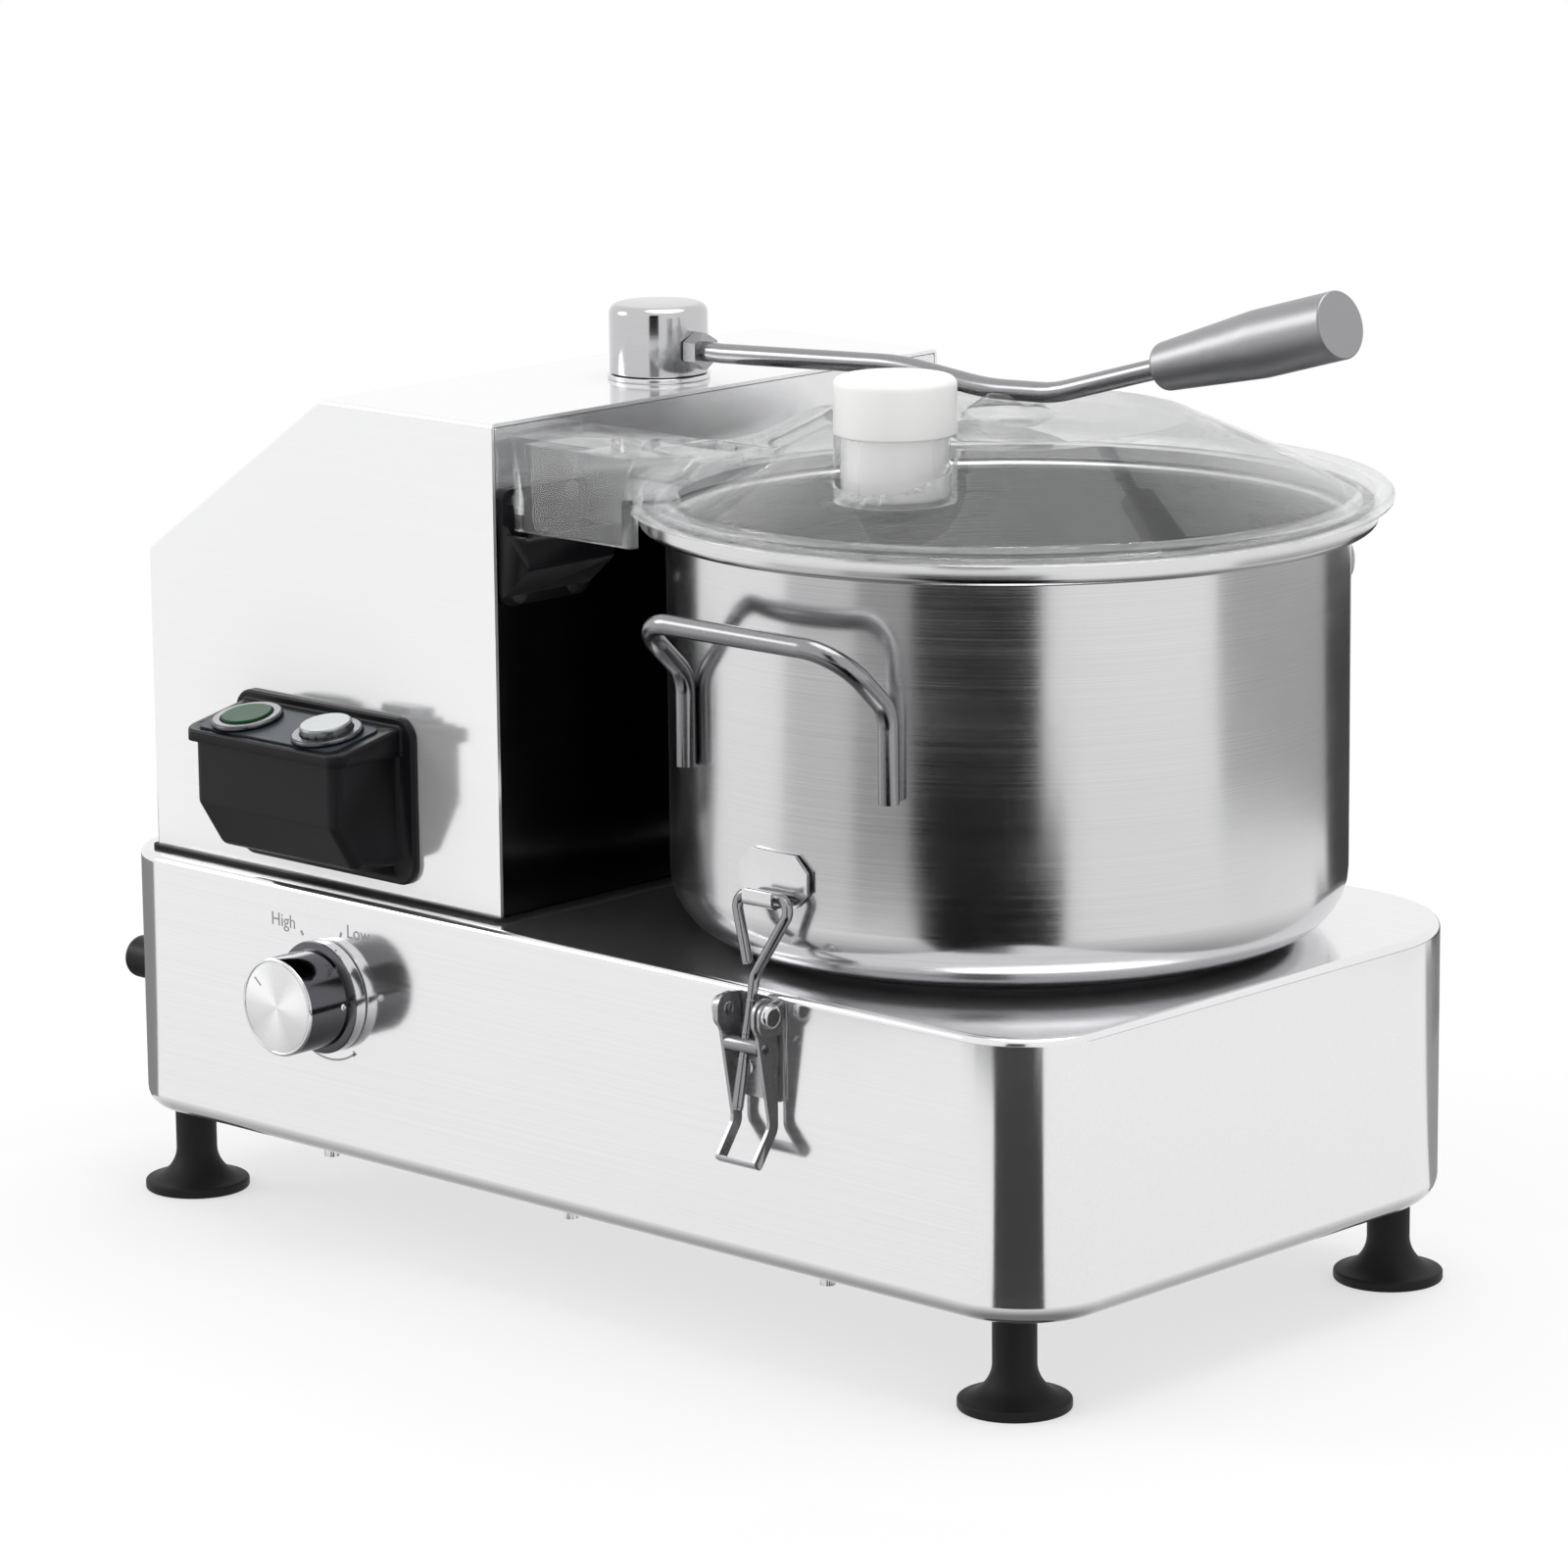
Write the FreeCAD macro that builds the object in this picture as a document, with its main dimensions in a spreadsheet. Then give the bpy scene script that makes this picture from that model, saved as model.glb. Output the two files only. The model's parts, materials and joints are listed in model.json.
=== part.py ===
import FreeCAD, Part
import math
import os
import Sketcher

# Bowl cutter: a commercial food processor with a removable steel bowl.
# Lengths are millimetres, angles degrees. The floor is z = 0, +Z is up,
# +X runs from the motor tower to the bowl, and the operator stands at -Y.

doc = FreeCAD.newDocument("FoodProcessor")
sheet = doc.addObject("Spreadsheet::Sheet", "dims")
X_DIRECTION = FreeCAD.Vector(1, 0, 0)
Y_DIRECTION = FreeCAD.Vector(0, 1, 0)
Z_DIRECTION = FreeCAD.Vector(0, 0, 1)
UNTURNED = FreeCAD.Rotation()

# Driving dimensions: name and size.
DIMENSIONS = [
    # Place of the centre of the base in the frame of the whole machine.
    ("base_x", -6.21),
    ("base_y", 6.09),
    # Base housing, folded and drawn from sheet.
    ("base_length", 511.0),
    ("base_ahead", 9.2),
    ("base_width", 281.0),
    ("base_height", 109.7),
    ("base_corner", 36.0),
    ("base_far_corner", 64.0),
    ("base_top_round", 3.0),
    ("base_bottom_round", 8.0),
    ("sheet_wall", 1.5),
    ("seam_gap", 0.3),
    # Rubber feet and their studs.
    ("foot_height", 39.0),
    ("foot_radius", 21.75),
    ("foot_neck_radius", 8.5),
    ("foot_rim", 4.0),
    ("foot_flare", 13.0),
    ("foot_inset_bowl_end", 34.7),
    ("foot_inset_tower_end", 19.3),
    ("foot_inset_y", 28.5),
    ("stud_radius", 4.0),
    ("stud_in_foot", 22.0),
    ("stud_above_plate", 12.0),
    ("fit_gap", 0.05),
    ("nut_height", 6.5),
    ("nut_corner_radius", 7.5),
    ("plate_screw_radius", 3.2),
    ("plate_screw_height", 5.0),
    ("plate_screw_inset", 15.5),
    ("plate_screw_share", 0.27),
    # Motor tower.
    ("tower_back", 227.6),
    ("tower_front", 23.7),
    ("tower_half_width", 128.4),
    ("tower_height", 196.0),
    ("tower_shoulder", 124.3),
    ("tower_slope_end", 121.5),
    ("tower_edge_round", 2.0),
    ("gasket_thickness", 1.5),
    ("gasket_reach", 2.0),
    ("gasket_width", 9.0),
    ("gasket_corner", 4.0),
    # Control box on the side of the tower.
    ("box_place_x", 121.4),
    ("box_flange_width", 104.0),
    ("box_flange_height", 68.0),
    ("box_flange_thickness", 3.0),
    ("box_flange_round", 9.0),
    ("box_bottom", 5.5),
    ("box_width", 83.5),
    ("box_lip_width", 91.8),
    ("box_lip_round", 7.0),
    ("box_lip_rim_round", 1.2),
    ("box_depth", 37.6),
    ("box_top", 69.8),
    ("box_lip", 4.5),
    ("box_lip_step", 2.3),
    ("box_front_bottom", 33.0),
    ("box_chamfer_back", 12.2),
    ("box_chamfer_drop", 19.4),
    ("box_floor_drop", 2.0),
    ("box_edge_round", 5.0),
    ("panel_tilt", 11.4),
    ("panel_width", 80.0),
    ("panel_depth", 27.0),
    ("panel_thickness", 0.8),
    ("panel_inset", 5.0),
    ("button_spacing", 47.0),
    ("bezel_radius", 14.6),
    ("bezel_height", 2.2),
    ("barrel_radius", 12.4),
    ("barrel_depth", 18.0),
    ("button_radius", 10.6),
    ("button_gap", 0.3),
    ("start_button_rise", 3.0),
    ("stop_button_rise", 5.5),
    ("button_skirt", 7.0),
    # Speed knob and the control behind it.
    ("knob_place_x", 112.0),
    ("knob_height", 68.0),
    ("knob_radius", 20.0),
    ("knob_ring_radius", 23.0),
    ("knob_ring_thickness", 6.0),
    ("knob_length", 28.0),
    ("knob_wall_gap", 0.4),
    ("knob_face_round", 1.2),
    ("knob_shaft_radius", 3.0),
    ("knob_shaft_reach", 18.0),
    ("control_radius", 12.0),
    ("control_depth", 13.0),
    ("bushing_radius", 5.0),
    # Cable gland.
    ("gland_place_y", 93.5),
    ("gland_height", 48.5),
    ("gland_length", 36.0),
    ("gland_radius", 9.0),
    ("gland_collar_radius", 12.5),
    ("gland_collar_length", 8.0),
    ("gland_bore_radius", 4.0),
    # Bowl.
    ("bowl_offset", 128.8),
    ("bowl_radius", 132.0),
    ("bowl_wall", 1.5),
    ("bowl_bottom_round", 24.0),
    ("bowl_seat", 1.5),
    ("bowl_step", 158.5),
    ("collar_reach", 10.6),
    ("collar_height", 8.0),
    ("collar_round", 3.0),
    ("bowl_tube_radius", 16.0),
    ("bowl_tube_height", 45.0),
    ("seat_ring_inset", 34.0),
    ("seat_ring_width", 12.0),
    # Bowl handles.
    ("handle_wire_radius", 4.0),
    ("handle_half_span", 52.0),
    ("handle_leg_bottom", 75.0),
    ("handle_leg_bend", 110.0),
    ("handle_bar_height", 135.3),
    ("handle_reach", 26.5),
    ("handle_leg_round", 16.0),
    ("handle_bar_round", 18.0),
    ("weld_gap", 0.15),
    # Draw latches at the front and the rear of the bowl.
    ("catch_width", 35.0),
    ("catch_height", 20.0),
    ("catch_cut", 6.0),
    ("catch_thickness", 1.5),
    ("tongue_width", 15.0),
    ("tongue_room", 2.3),
    ("tongue_gap", 1.1),
    ("tongue_rise", 2.5),
    ("loop_wire_radius", 2.1),
    ("loop_rest_gap", 0.4),
    ("loop_half_width", 15.8),
    ("loop_bar_height", 55.5),
    ("loop_neck_height", 26.0),
    ("loop_shoulder_round", 5.0),
    ("rod_tail", 24.0),
    ("pivot_reach", 8.5),
    ("pivot_drop", 6.7),
    ("barrel_drop", 13.0),
    ("barrel_offset", 0.3),
    ("lever_plate_inner", 8.65),
    ("lever_plate_thickness", 1.5),
    ("lever_eye_radius", 6.3),
    ("lever_neck_drop", 8.0),
    ("lever_neck_out", 4.2),
    ("lever_bend_drop", 43.5),
    ("lever_bend_in", 2.0),
    ("lever_tip_reach", 9.5),
    ("lever_tip_drop", 13.5),
    ("lever_tip_width", 4.7),
    ("lever_bridge", 1.6),
    ("ear_thickness", 1.5),
    ("ear_below", 8.0),
    ("ear_above", 5.0),
    ("latch_plate_thickness", 1.5),
    ("latch_plate_height", 40.0),
    ("latch_top_drop", 1.5),
    ("rivet_radius", 2.5),
    ("rivet_head_radius", 5.0),
    ("rivet_head_height", 2.2),
    ("crossbar_radius", 3.4),
    ("crossbar_pin_radius", 2.0),
    ("crossbar_hole_gap", 0.1),
    # Lid, with the neck that reaches to the safety bracket.
    ("lid_reach", 5.9),
    ("lid_rim_thickness", 5.0),
    ("lid_rim_round", 1.8),
    ("lid_foot_step", 2.0),
    ("lid_top_radius", 71.0),
    ("lid_height", 33.2),
    ("lid_wall", 3.0),
    ("lid_mouth_inset", 2.0),
    ("neck_gap", 4.2),
    ("neck_length", 63.5),
    ("neck_near", 121.0),
    ("neck_far", 78.0),
    ("neck_top", 24.0),
    ("neck_drop", 13.0),
    ("neck_arc_radius", 110.0),
    ("neck_end_x", 38.8),
    ("neck_end_y", 70.0),
    ("collar_clear", 1.9),
    ("hook_thickness", 3.0),
    ("hook_width", 28.0),
    ("hook_drop", 13.0),
    ("hook_gusset", 9.0),
    ("tube_place_x", 12.0),
    ("tube_place_y", 77.2),
    ("tube_radius", 23.3),
    ("tube_wall", 2.5),
    ("tube_top", 36.3),
    ("tube_below", 11.0),
    ("bump_radius", 20.0),
    ("bump_top_radius", 6.5),
    ("saddle_depth", 3.9),
    ("seal_height", 6.0),
    ("seal_width", 4.5),
    # Plunger.
    ("plunger_cap_height", 21.5),
    ("plunger_stem_length", 24.0),
    ("plunger_stem_gap", 0.5),
    ("plunger_wall", 3.0),
    ("plunger_round", 3.0),
    # Lid bracket with its safety switch.
    ("bracket_width", 47.0),
    ("bracket_height", 46.0),
    ("bracket_thickness", 2.8),
    ("bracket_corner", 5.0),
    ("bracket_bottom", 124.0),
    ("bracket_centre_y", 102.5),
    ("trough_reach", 14.0),
    ("trough_wall", 2.5),
    ("trough_bottom", 12.0),
    ("trough_top", 28.5),
    ("bracket_screw_x", 14.5),
    ("bracket_screw_low", 4.5),
    ("bracket_screw_high", 41.5),
    ("bracket_screw_radius", 3.9),
    ("bracket_screw_shank", 1.9),
    ("switch_width", 28.0),
    ("switch_depth", 12.0),
    ("switch_height", 18.0),
    # Swing arm that holds the lid down.
    ("post_place_x", 58.8),
    ("post_ring_radius", 20.8),
    ("post_ring_height", 2.0),
    ("post_gap", 0.3),
    ("cap_radius", 20.0),
    ("cap_height", 28.0),
    ("cap_round", 4.0),
    ("post_pin_radius", 8.0),
    ("post_pin_height", 22.0),
    ("rod_radius", 4.0),
    ("rod_start_height", 12.9),
    ("rod_straight", 25.0),
    ("socket_floor", 2.0),
    ("rod_rise_x", 132.0),
    ("rod_rise_height", 17.6),
    ("rod_low_x", 177.0),
    ("rod_low_height", 12.9),
    ("rod_lift_x", 211.0),
    ("rod_lift_height", 14.3),
    ("rod_end_x", 268.0),
    ("rod_angle", 15.7),
    ("rod_bend", 60.0),
    ("rod_nut_radius", 7.5),
    ("rod_nut_length", 6.5),
    ("grip_start_x", 265.5),
    ("grip_length", 88.0),
    ("grip_start_radius", 9.2),
    ("grip_end_radius", 12.9),
    ("grip_round", 2.5),
    # Cutter.
    ("shaft_radius", 7.5),
    ("shaft_bottom", 34.0),
    ("hub_radius", 23.0),
    ("hub_inner_radius", 17.2),
    ("hub_lift", 3.5),
    ("hub_height", 62.0),
    ("hub_top_radius", 15.0),
    ("hub_top_thickness", 12.0),
    ("blade_thickness", 2.5),
    ("blade_reach", 123.0),
    ("blade_ring_width", 7.0),
    ("blade_low_place", 8.0),
    ("blade_high_place", 34.0),
    ("blade_twist", 65.0),
    # Bearings, pulleys, belt and motor.
    ("bearing_radius", 17.5),
    ("bearing_width", 11.0),
    ("housing_radius", 25.0),
    ("housing_flange_radius", 44.0),
    ("housing_flange_thickness", 5.0),
    ("housing_length", 55.0),
    ("bearing_inset", 4.0),
    ("shaft_seal_radius", 13.5),
    ("shaft_seal_height", 5.0),
    ("pulley_width", 14.0),
    ("pulley_level", 36.0),
    ("driven_pulley_radius", 42.0),
    ("motor_pulley_radius", 28.0),
    ("groove_depth", 6.0),
    ("belt_width", 9.0),
    ("belt_thickness", 5.5),
    ("belt_gap", 0.5),
    ("motor_place_x", 122.0),
    ("motor_radius", 62.0),
    ("motor_length", 112.0),
    ("motor_cap_length", 20.0),
    ("motor_shaft_radius", 7.0),
    ("motor_foot_size", 150.0),
    ("motor_foot_thickness", 5.0),
    ("rib_count", 24.0),
    ("rib_height", 4.0),
    ("rib_width", 2.4),
    # Speed control board.
    ("board_length", 96.0),
    ("board_width", 62.0),
    ("board_thickness", 1.6),
    ("board_lift", 8.0),
    ("board_place_x", 130.0),
    ("board_place_y", 78.0),
    ("heatsink_height", 24.0),
    ("heatsink_length", 50.0),
    ("heatsink_width", 30.0),
    ("spacer_radius", 3.0),
]

for row, (alias, amount) in enumerate(DIMENSIONS, start=1):
    sheet.set(f"A{row}", alias)
    sheet.set(f"B{row}", str(amount))
    sheet.setAlias(f"B{row}", alias)
doc.recompute()


class Size:
    """A size: its value, and the expression that ties it to the sheet."""

    def __init__(self, value, text):
        self.value = float(value)
        self.text = text

    def __add__(self, other):
        other = as_size(other)
        return Size(self.value + other.value, f"({self.text} + {other.text})")

    def __sub__(self, other):
        other = as_size(other)
        return Size(self.value - other.value, f"({self.text} - {other.text})")

    def __mul__(self, other):
        other = as_size(other)
        return Size(self.value * other.value, f"({self.text} * {other.text})")

    def __truediv__(self, other):
        other = as_size(other)
        return Size(self.value / other.value, f"({self.text} / {other.text})")

    def __neg__(self):
        return Size(-self.value, f"(0 - {self.text})")

    def __rsub__(self, other):
        return as_size(other) - self

    __radd__ = __add__
    __rmul__ = __mul__


def as_size(number):
    """Gives a plain number the form of a size."""
    if isinstance(number, Size):
        return number
    return Size(number, repr(float(number)))


def root(size):
    """Square root of a size."""
    return Size(math.sqrt(size.value), f"sqrt({size.text})")


def sine(angle):
    """Sine of an angle in degrees."""
    return Size(math.sin(math.radians(angle.value)), f"sin({angle.text})")


def cosine(angle):
    """Cosine of an angle in degrees."""
    return Size(math.cos(math.radians(angle.value)), f"cos({angle.text})")


class Dimensions:
    """The sheet's cells by name, each as a size."""

    def __getattr__(self, alias):
        return Size(float(sheet.get(alias)), f"dims.{alias}")


d = Dimensions()

# Levels and axes that several pieces share.
base_bottom = d.foot_height
deck = d.foot_height + d.base_height
tower_bottom = deck + d.gasket_thickness
tower_top = tower_bottom + d.tower_height
tower_face_x = d.base_x - d.tower_front
side_y = d.base_y - d.base_width / 2
tower_side_y = d.base_y - d.tower_half_width
bowl_x = d.base_x + d.bowl_offset
bowl_bottom = deck + d.bowl_seat
collar_radius = d.bowl_radius + d.collar_reach
seat_ring_radius = d.bowl_radius - d.seat_ring_inset
bowl_top = bowl_bottom + d.bowl_step + d.collar_height
lid_bottom = bowl_top + d.seam_gap
lid_radius = collar_radius + d.lid_reach
lid_mouth_radius = d.bowl_radius - d.lid_mouth_inset
lid_foot_radius = d.bowl_radius + d.lid_foot_step
motor_x = d.base_x - d.motor_place_x
post_x = d.base_x - d.post_place_x
pulley_z = base_bottom + d.pulley_level
bowl_end = d.base_ahead + d.base_length / 2
tower_end = d.base_ahead - d.base_length / 2
foot_at_bowl = bowl_end - d.foot_inset_bowl_end
foot_at_tower = tower_end + d.foot_inset_tower_end
foot_place_y = d.base_width / 2 - d.foot_inset_y

parts = []
housing_fixings = []


def tie(thing, name, amount):
    """Sets a property to a size and ties it to the sheet."""
    thing.setExpression(name, as_size(amount).text)


def place(thing, x, y, z, turn=UNTURNED):
    """Puts an object at a point of the frame."""
    thing.Placement = FreeCAD.Placement(FreeCAD.Vector(), turn)
    tie(thing, "Placement.Base.x", x)
    tie(thing, "Placement.Base.y", y)
    tie(thing, "Placement.Base.z", z)


def keep(thing, label):
    """Names a finished sub-part and adds it to those that are written."""
    thing.Label = label
    parts.append(thing)
    return thing


def helper_body(label):
    """Starts a body that other solids are cut with or from."""
    return doc.addObject("PartDesign::Body", label)


def start_body(label):
    """Starts the body of a sub-part."""
    return keep(helper_body(label), label)


def new_sketch(body, role, lift=None):
    """A sketch on one of the body's own planes, raised along its normal."""
    sketch = body.newObject("Sketcher::SketchObject", "outline")
    plane = next(item for item in body.Origin.OriginFeatures if item.Role == role)
    sketch.AttachmentSupport = [(plane, "")]
    sketch.MapMode = "FlatFace"
    if lift is not None:
        tie(sketch, "AttachmentOffset.Base.z", lift)
    return sketch


def fix_point(sketch, geometry, point, x, y):
    """Ties a point of a sketch to its place."""
    for kind, amount in (("DistanceX", x), ("DistanceY", y)):
        number = sketch.addConstraint(Sketcher.Constraint(kind, -1, 1, geometry, point, amount.value))
        tie(sketch, f"Constraints[{number}]", amount)


def circle(sketch, radius, x=0.0, y=0.0):
    """A circle in a sketch."""
    radius, x, y = as_size(radius), as_size(x), as_size(y)
    centre = FreeCAD.Vector(x.value, y.value, 0)
    number = sketch.addGeometry(Part.Circle(centre, Z_DIRECTION, radius.value), False)
    fix_point(sketch, number, 3, x, y)
    held = sketch.addConstraint(Sketcher.Constraint("Radius", number, radius.value))
    tie(sketch, f"Constraints[{held}]", radius)
    return sketch


def rounded_corner(corner, before, after, radius):
    """Tangent points, centre and turn of the arc that rounds a corner."""
    back = (before - corner).normalize()
    ahead = (after - corner).normalize()
    half_angle = back.getAngle(ahead) / 2
    run = radius / math.tan(half_angle)
    middle = (back + ahead).normalize()
    centre = corner + middle * (radius / math.sin(half_angle))
    turns_left = back.cross(ahead).z < 0
    return corner + back * run, corner + ahead * run, centre, turns_left


def arc_between(centre, start, end, radius):
    """The arc that runs anticlockwise from start to end."""
    first = math.atan2(start.y - centre.y, start.x - centre.x)
    last = math.atan2(end.y - centre.y, end.x - centre.x)
    if last < first:
        last += 2 * math.pi
    return Part.ArcOfCircle(Part.Circle(centre, Z_DIRECTION, radius), first, last)


def outline(sketch, corners):
    """A closed outline through corners; a third number rounds a corner."""
    spots = [(as_size(corner[0]), as_size(corner[1])) for corner in corners]
    radii = [as_size(corner[2]) if len(corner) > 2 else None for corner in corners]
    points = [FreeCAD.Vector(x.value, y.value, 0) for x, y in spots]
    count = len(points)
    entries = []
    for index in range(count):
        corner = points[index]
        if radii[index] is None:
            entries.append((corner, corner, None, True))
        else:
            before = points[index - 1]
            after = points[(index + 1) % count]
            entries.append(rounded_corner(corner, before, after, radii[index].value))
    lines = []
    for index in range(count):
        start = entries[index][1]
        end = entries[(index + 1) % count][0]
        lines.append(sketch.addGeometry(Part.LineSegment(start, end), False))
    for index in range(count):
        line_in = lines[index - 1]
        line_out = lines[index]
        first, second, centre, turns_left = entries[index]
        if radii[index] is None:
            sketch.addConstraint(Sketcher.Constraint("Coincident", line_in, 2, line_out, 1))
            fix_point(sketch, line_out, 1, *spots[index])
            continue
        start, end = (first, second) if turns_left else (second, first)
        arc = sketch.addGeometry(arc_between(centre, start, end, radii[index].value), False)
        point_in, point_out = (1, 2) if turns_left else (2, 1)
        sketch.addConstraint(Sketcher.Constraint("Tangent", line_in, 2, arc, point_in))
        sketch.addConstraint(Sketcher.Constraint("Tangent", arc, point_out, line_out, 1))
        held = sketch.addConstraint(Sketcher.Constraint("Radius", arc, radii[index].value))
        tie(sketch, f"Constraints[{held}]", radii[index])
        mark = sketch.addGeometry(Part.Point(points[index]), True)
        fix_point(sketch, mark, 1, *spots[index])
        sketch.addConstraint(Sketcher.Constraint("PointOnObject", mark, 1, line_in))
        sketch.addConstraint(Sketcher.Constraint("PointOnObject", mark, 1, line_out))
    return sketch


def rectangle(sketch, x_low, x_high, y_low, y_high, radius=None):
    """A rectangle in a sketch, with round corners if a radius is given."""
    corners = [(x_low, y_low), (x_high, y_low), (x_high, y_high), (x_low, y_high)]
    if radius is not None:
        corners = [corner + (radius,) for corner in corners]
    return outline(sketch, corners)


def volume_of(body):
    """Volume of a body as it stands."""
    doc.recompute()
    return body.Tip.Shape.Volume if body.Tip and not body.Tip.Shape.isNull() else 0.0


def pad(body, sketch, length, both_sides=False, downwards=False):
    """Adds material from a sketch."""
    before = volume_of(body)
    feature = body.newObject("PartDesign::Pad", "pad")
    feature.Profile = sketch
    feature.Midplane = both_sides
    feature.Reversed = downwards
    tie(feature, "Length", length)
    sketch.Visibility = False
    if volume_of(body) <= before:
        raise ValueError(f"{body.Label}: a pad adds nothing")
    return feature


def pocket(body, sketch, depth, upwards=False, both_sides=False):
    """Cuts a sketch out, down from it or up from it."""
    before = volume_of(body)
    feature = body.newObject("PartDesign::Pocket", "pocket")
    feature.Profile = sketch
    feature.Midplane = both_sides
    feature.Reversed = upwards
    tie(feature, "Length", depth)
    sketch.Visibility = False
    if volume_of(body) >= before:
        raise ValueError(f"{body.Label}: a pocket cuts nothing")
    return feature


def turn_on_lathe(body, corners, remove=False):
    """Revolves a profile of radius and height about the body's Z axis."""
    before = volume_of(body)
    sketch = outline(new_sketch(body, "XZ_Plane"), corners)
    kind = "PartDesign::Groove" if remove else "PartDesign::Revolution"
    feature = body.newObject(kind, "turned")
    feature.Profile = sketch
    feature.ReferenceAxis = (sketch, ["V_Axis"])
    feature.Angle = 360.0
    sketch.Visibility = False
    after = volume_of(body)
    if (after >= before) if remove else (after <= before):
        raise ValueError(f"{body.Label}: a turned feature changes nothing")
    return feature


def round_edges(body, radius, wanted, kind="PartDesign::Fillet"):
    """Rounds the edges that a test picks."""
    doc.recompute()
    base = body.Tip
    names = [f"Edge{number}" for number, edge in enumerate(base.Shape.Edges, start=1) if wanted(edge)]
    feature = body.newObject(kind, "rounded")
    feature.Base = (base, names)
    tie(feature, "Radius" if kind == "PartDesign::Fillet" else "Size", radius)
    doc.recompute()
    return feature


def all_at(edge, axis, level, slack=0.01):
    """True if an edge lies in the plane where an axis has a level."""
    box = edge.BoundBox
    low, high = {"x": (box.XMin, box.XMax), "y": (box.YMin, box.YMax), "z": (box.ZMin, box.ZMax)}[axis]
    return abs(low - level) < slack and abs(high - level) < slack


def cylinder(name, radius, height, x, y, z, turn=UNTURNED):
    """A cylinder that stands on a point, along the turned Z axis."""
    solid = doc.addObject("Part::Cylinder", name)
    tie(solid, "Radius", radius)
    tie(solid, "Height", height)
    place(solid, x, y, z, turn)
    return solid


def hexagon(name, corner_radius, height, x, y, z, turn=UNTURNED):
    """A hexagonal prism that stands on a point."""
    solid = doc.addObject("Part::Prism", name)
    solid.Polygon = 6
    tie(solid, "Circumradius", corner_radius)
    tie(solid, "Height", height)
    place(solid, x, y, z, turn)
    return solid


def fused(label, solids):
    """One object of several solids fused where they meet."""
    joined = doc.addObject("Part::MultiFuse", label)
    joined.Shapes = solids
    joined.Refine = False
    return joined


def grouped(label, solids):
    """One object of several separate solids."""
    group = doc.addObject("Part::Compound", label)
    group.Links = solids
    return group


def cut(label, base, tool):
    """A solid less another one."""
    difference = doc.addObject("Part::Cut", label)
    difference.Base = base
    difference.Tool = tool
    return difference


def bent_path(points, radii):
    """Straight runs joined by tangent arcs, through the inner points' corners."""
    edges = []
    start = points[0]
    for corner, after, radius in zip(points[1:-1], points[2:], radii):
        back = (start - corner).normalize()
        ahead = (after - corner).normalize()
        half_angle = back.getAngle(ahead) / 2
        run = radius / math.tan(half_angle)
        middle = (back + ahead).normalize()
        centre = corner + middle * (radius / math.sin(half_angle))
        entry = corner + back * run
        leave = corner + ahead * run
        edges.append(Part.LineSegment(start, entry).toShape())
        edges.append(Part.Arc(entry, centre - middle * radius, leave).toShape())
        start = leave
    edges.append(Part.LineSegment(start, points[-1]).toShape())
    return Part.Wire(edges)


def bent_wire(points, radii, wire_radius):
    """A round wire bent along a path."""
    path = bent_path(points, radii)
    direction = points[1] - points[0]
    profile = Part.Wire(Part.Circle(points[0], direction, wire_radius).toShape())
    return path.makePipeShell([profile], True, False)


def computed(label, shape, x, y, z, turn=UNTURNED):
    """A sub-part whose shape is worked out from the sheet in code."""
    feature = doc.addObject("Part::Feature", label)
    feature.Shape = shape
    place(feature, x, y, z, turn)
    return feature


FACE_MINUS_Y = FreeCAD.Rotation(X_DIRECTION, 90)
FACE_PLUS_X = FreeCAD.Rotation(Y_DIRECTION, 90)
FACE_MINUS_X = FreeCAD.Rotation(Y_DIRECTION, -90)
HALF_TURN = FreeCAD.Rotation(Z_DIRECTION, 180)


# Base


def base_plan(sketch, inset):
    """The base seen from above, drawn in by an inset; the corner behind the bowl is the largest."""
    half_width = d.base_width / 2 - inset
    corner = d.base_corner - inset
    return outline(sketch, [
        (tower_end + inset, -half_width, corner),
        (bowl_end - inset, -half_width, corner),
        (bowl_end - inset, half_width, d.base_far_corner - inset),
        (tower_end + inset, half_width, corner),
    ])


def rounded_box(body, inset, bottom_round, top_round):
    """The base's outer form, or the same form drawn in by an inset."""
    sketch = base_plan(new_sketch(body, "XY_Plane", inset), inset)
    pad(body, sketch, d.base_height - inset * 2)
    top = (d.base_height - inset).value
    round_edges(body, bottom_round, lambda edge: all_at(edge, "z", inset.value))
    round_edges(body, top_round, lambda edge: all_at(edge, "z", top))


def make_base_housing():
    """The drawn steel base, open below, with holes for what passes through it."""
    wall = d.sheet_wall
    outer = helper_body("base_outer")
    rounded_box(outer, as_size(0.0), d.base_bottom_round, d.base_top_round)
    place(outer, d.base_x, d.base_y, base_bottom)
    cavity = helper_body("base_cavity")
    rounded_box(cavity, wall, d.base_bottom_round - wall, d.base_top_round - wall)
    opening = new_sketch(cavity, "XY_Plane", -wall)
    base_plan(opening, d.base_bottom_round)
    pad(cavity, opening, wall * 3)
    holes = new_sketch(cavity, "XY_Plane", d.base_height - wall * 2)
    circle(holes, d.shaft_seal_radius + d.seam_gap, d.bowl_offset)
    circle(holes, d.motor_shaft_radius * 3, -d.motor_place_x)
    pad(cavity, holes, wall * 3)
    knob_hole = new_sketch(cavity, "XZ_Plane", d.base_width / 2 - wall * 2)
    circle(knob_hole, d.bushing_radius + d.seam_gap, -d.knob_place_x, d.knob_height)
    pad(cavity, knob_hole, wall * 3)
    gland_hole = new_sketch(cavity, "YZ_Plane", tower_end - wall)
    circle(gland_hole, d.gland_radius + d.seam_gap, -d.gland_place_y, d.gland_height)
    pad(cavity, gland_hole, wall * 3)
    place(cavity, d.base_x, d.base_y, base_bottom)
    keep(cut("base_housing", outer, cavity), "base_housing")


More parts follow.
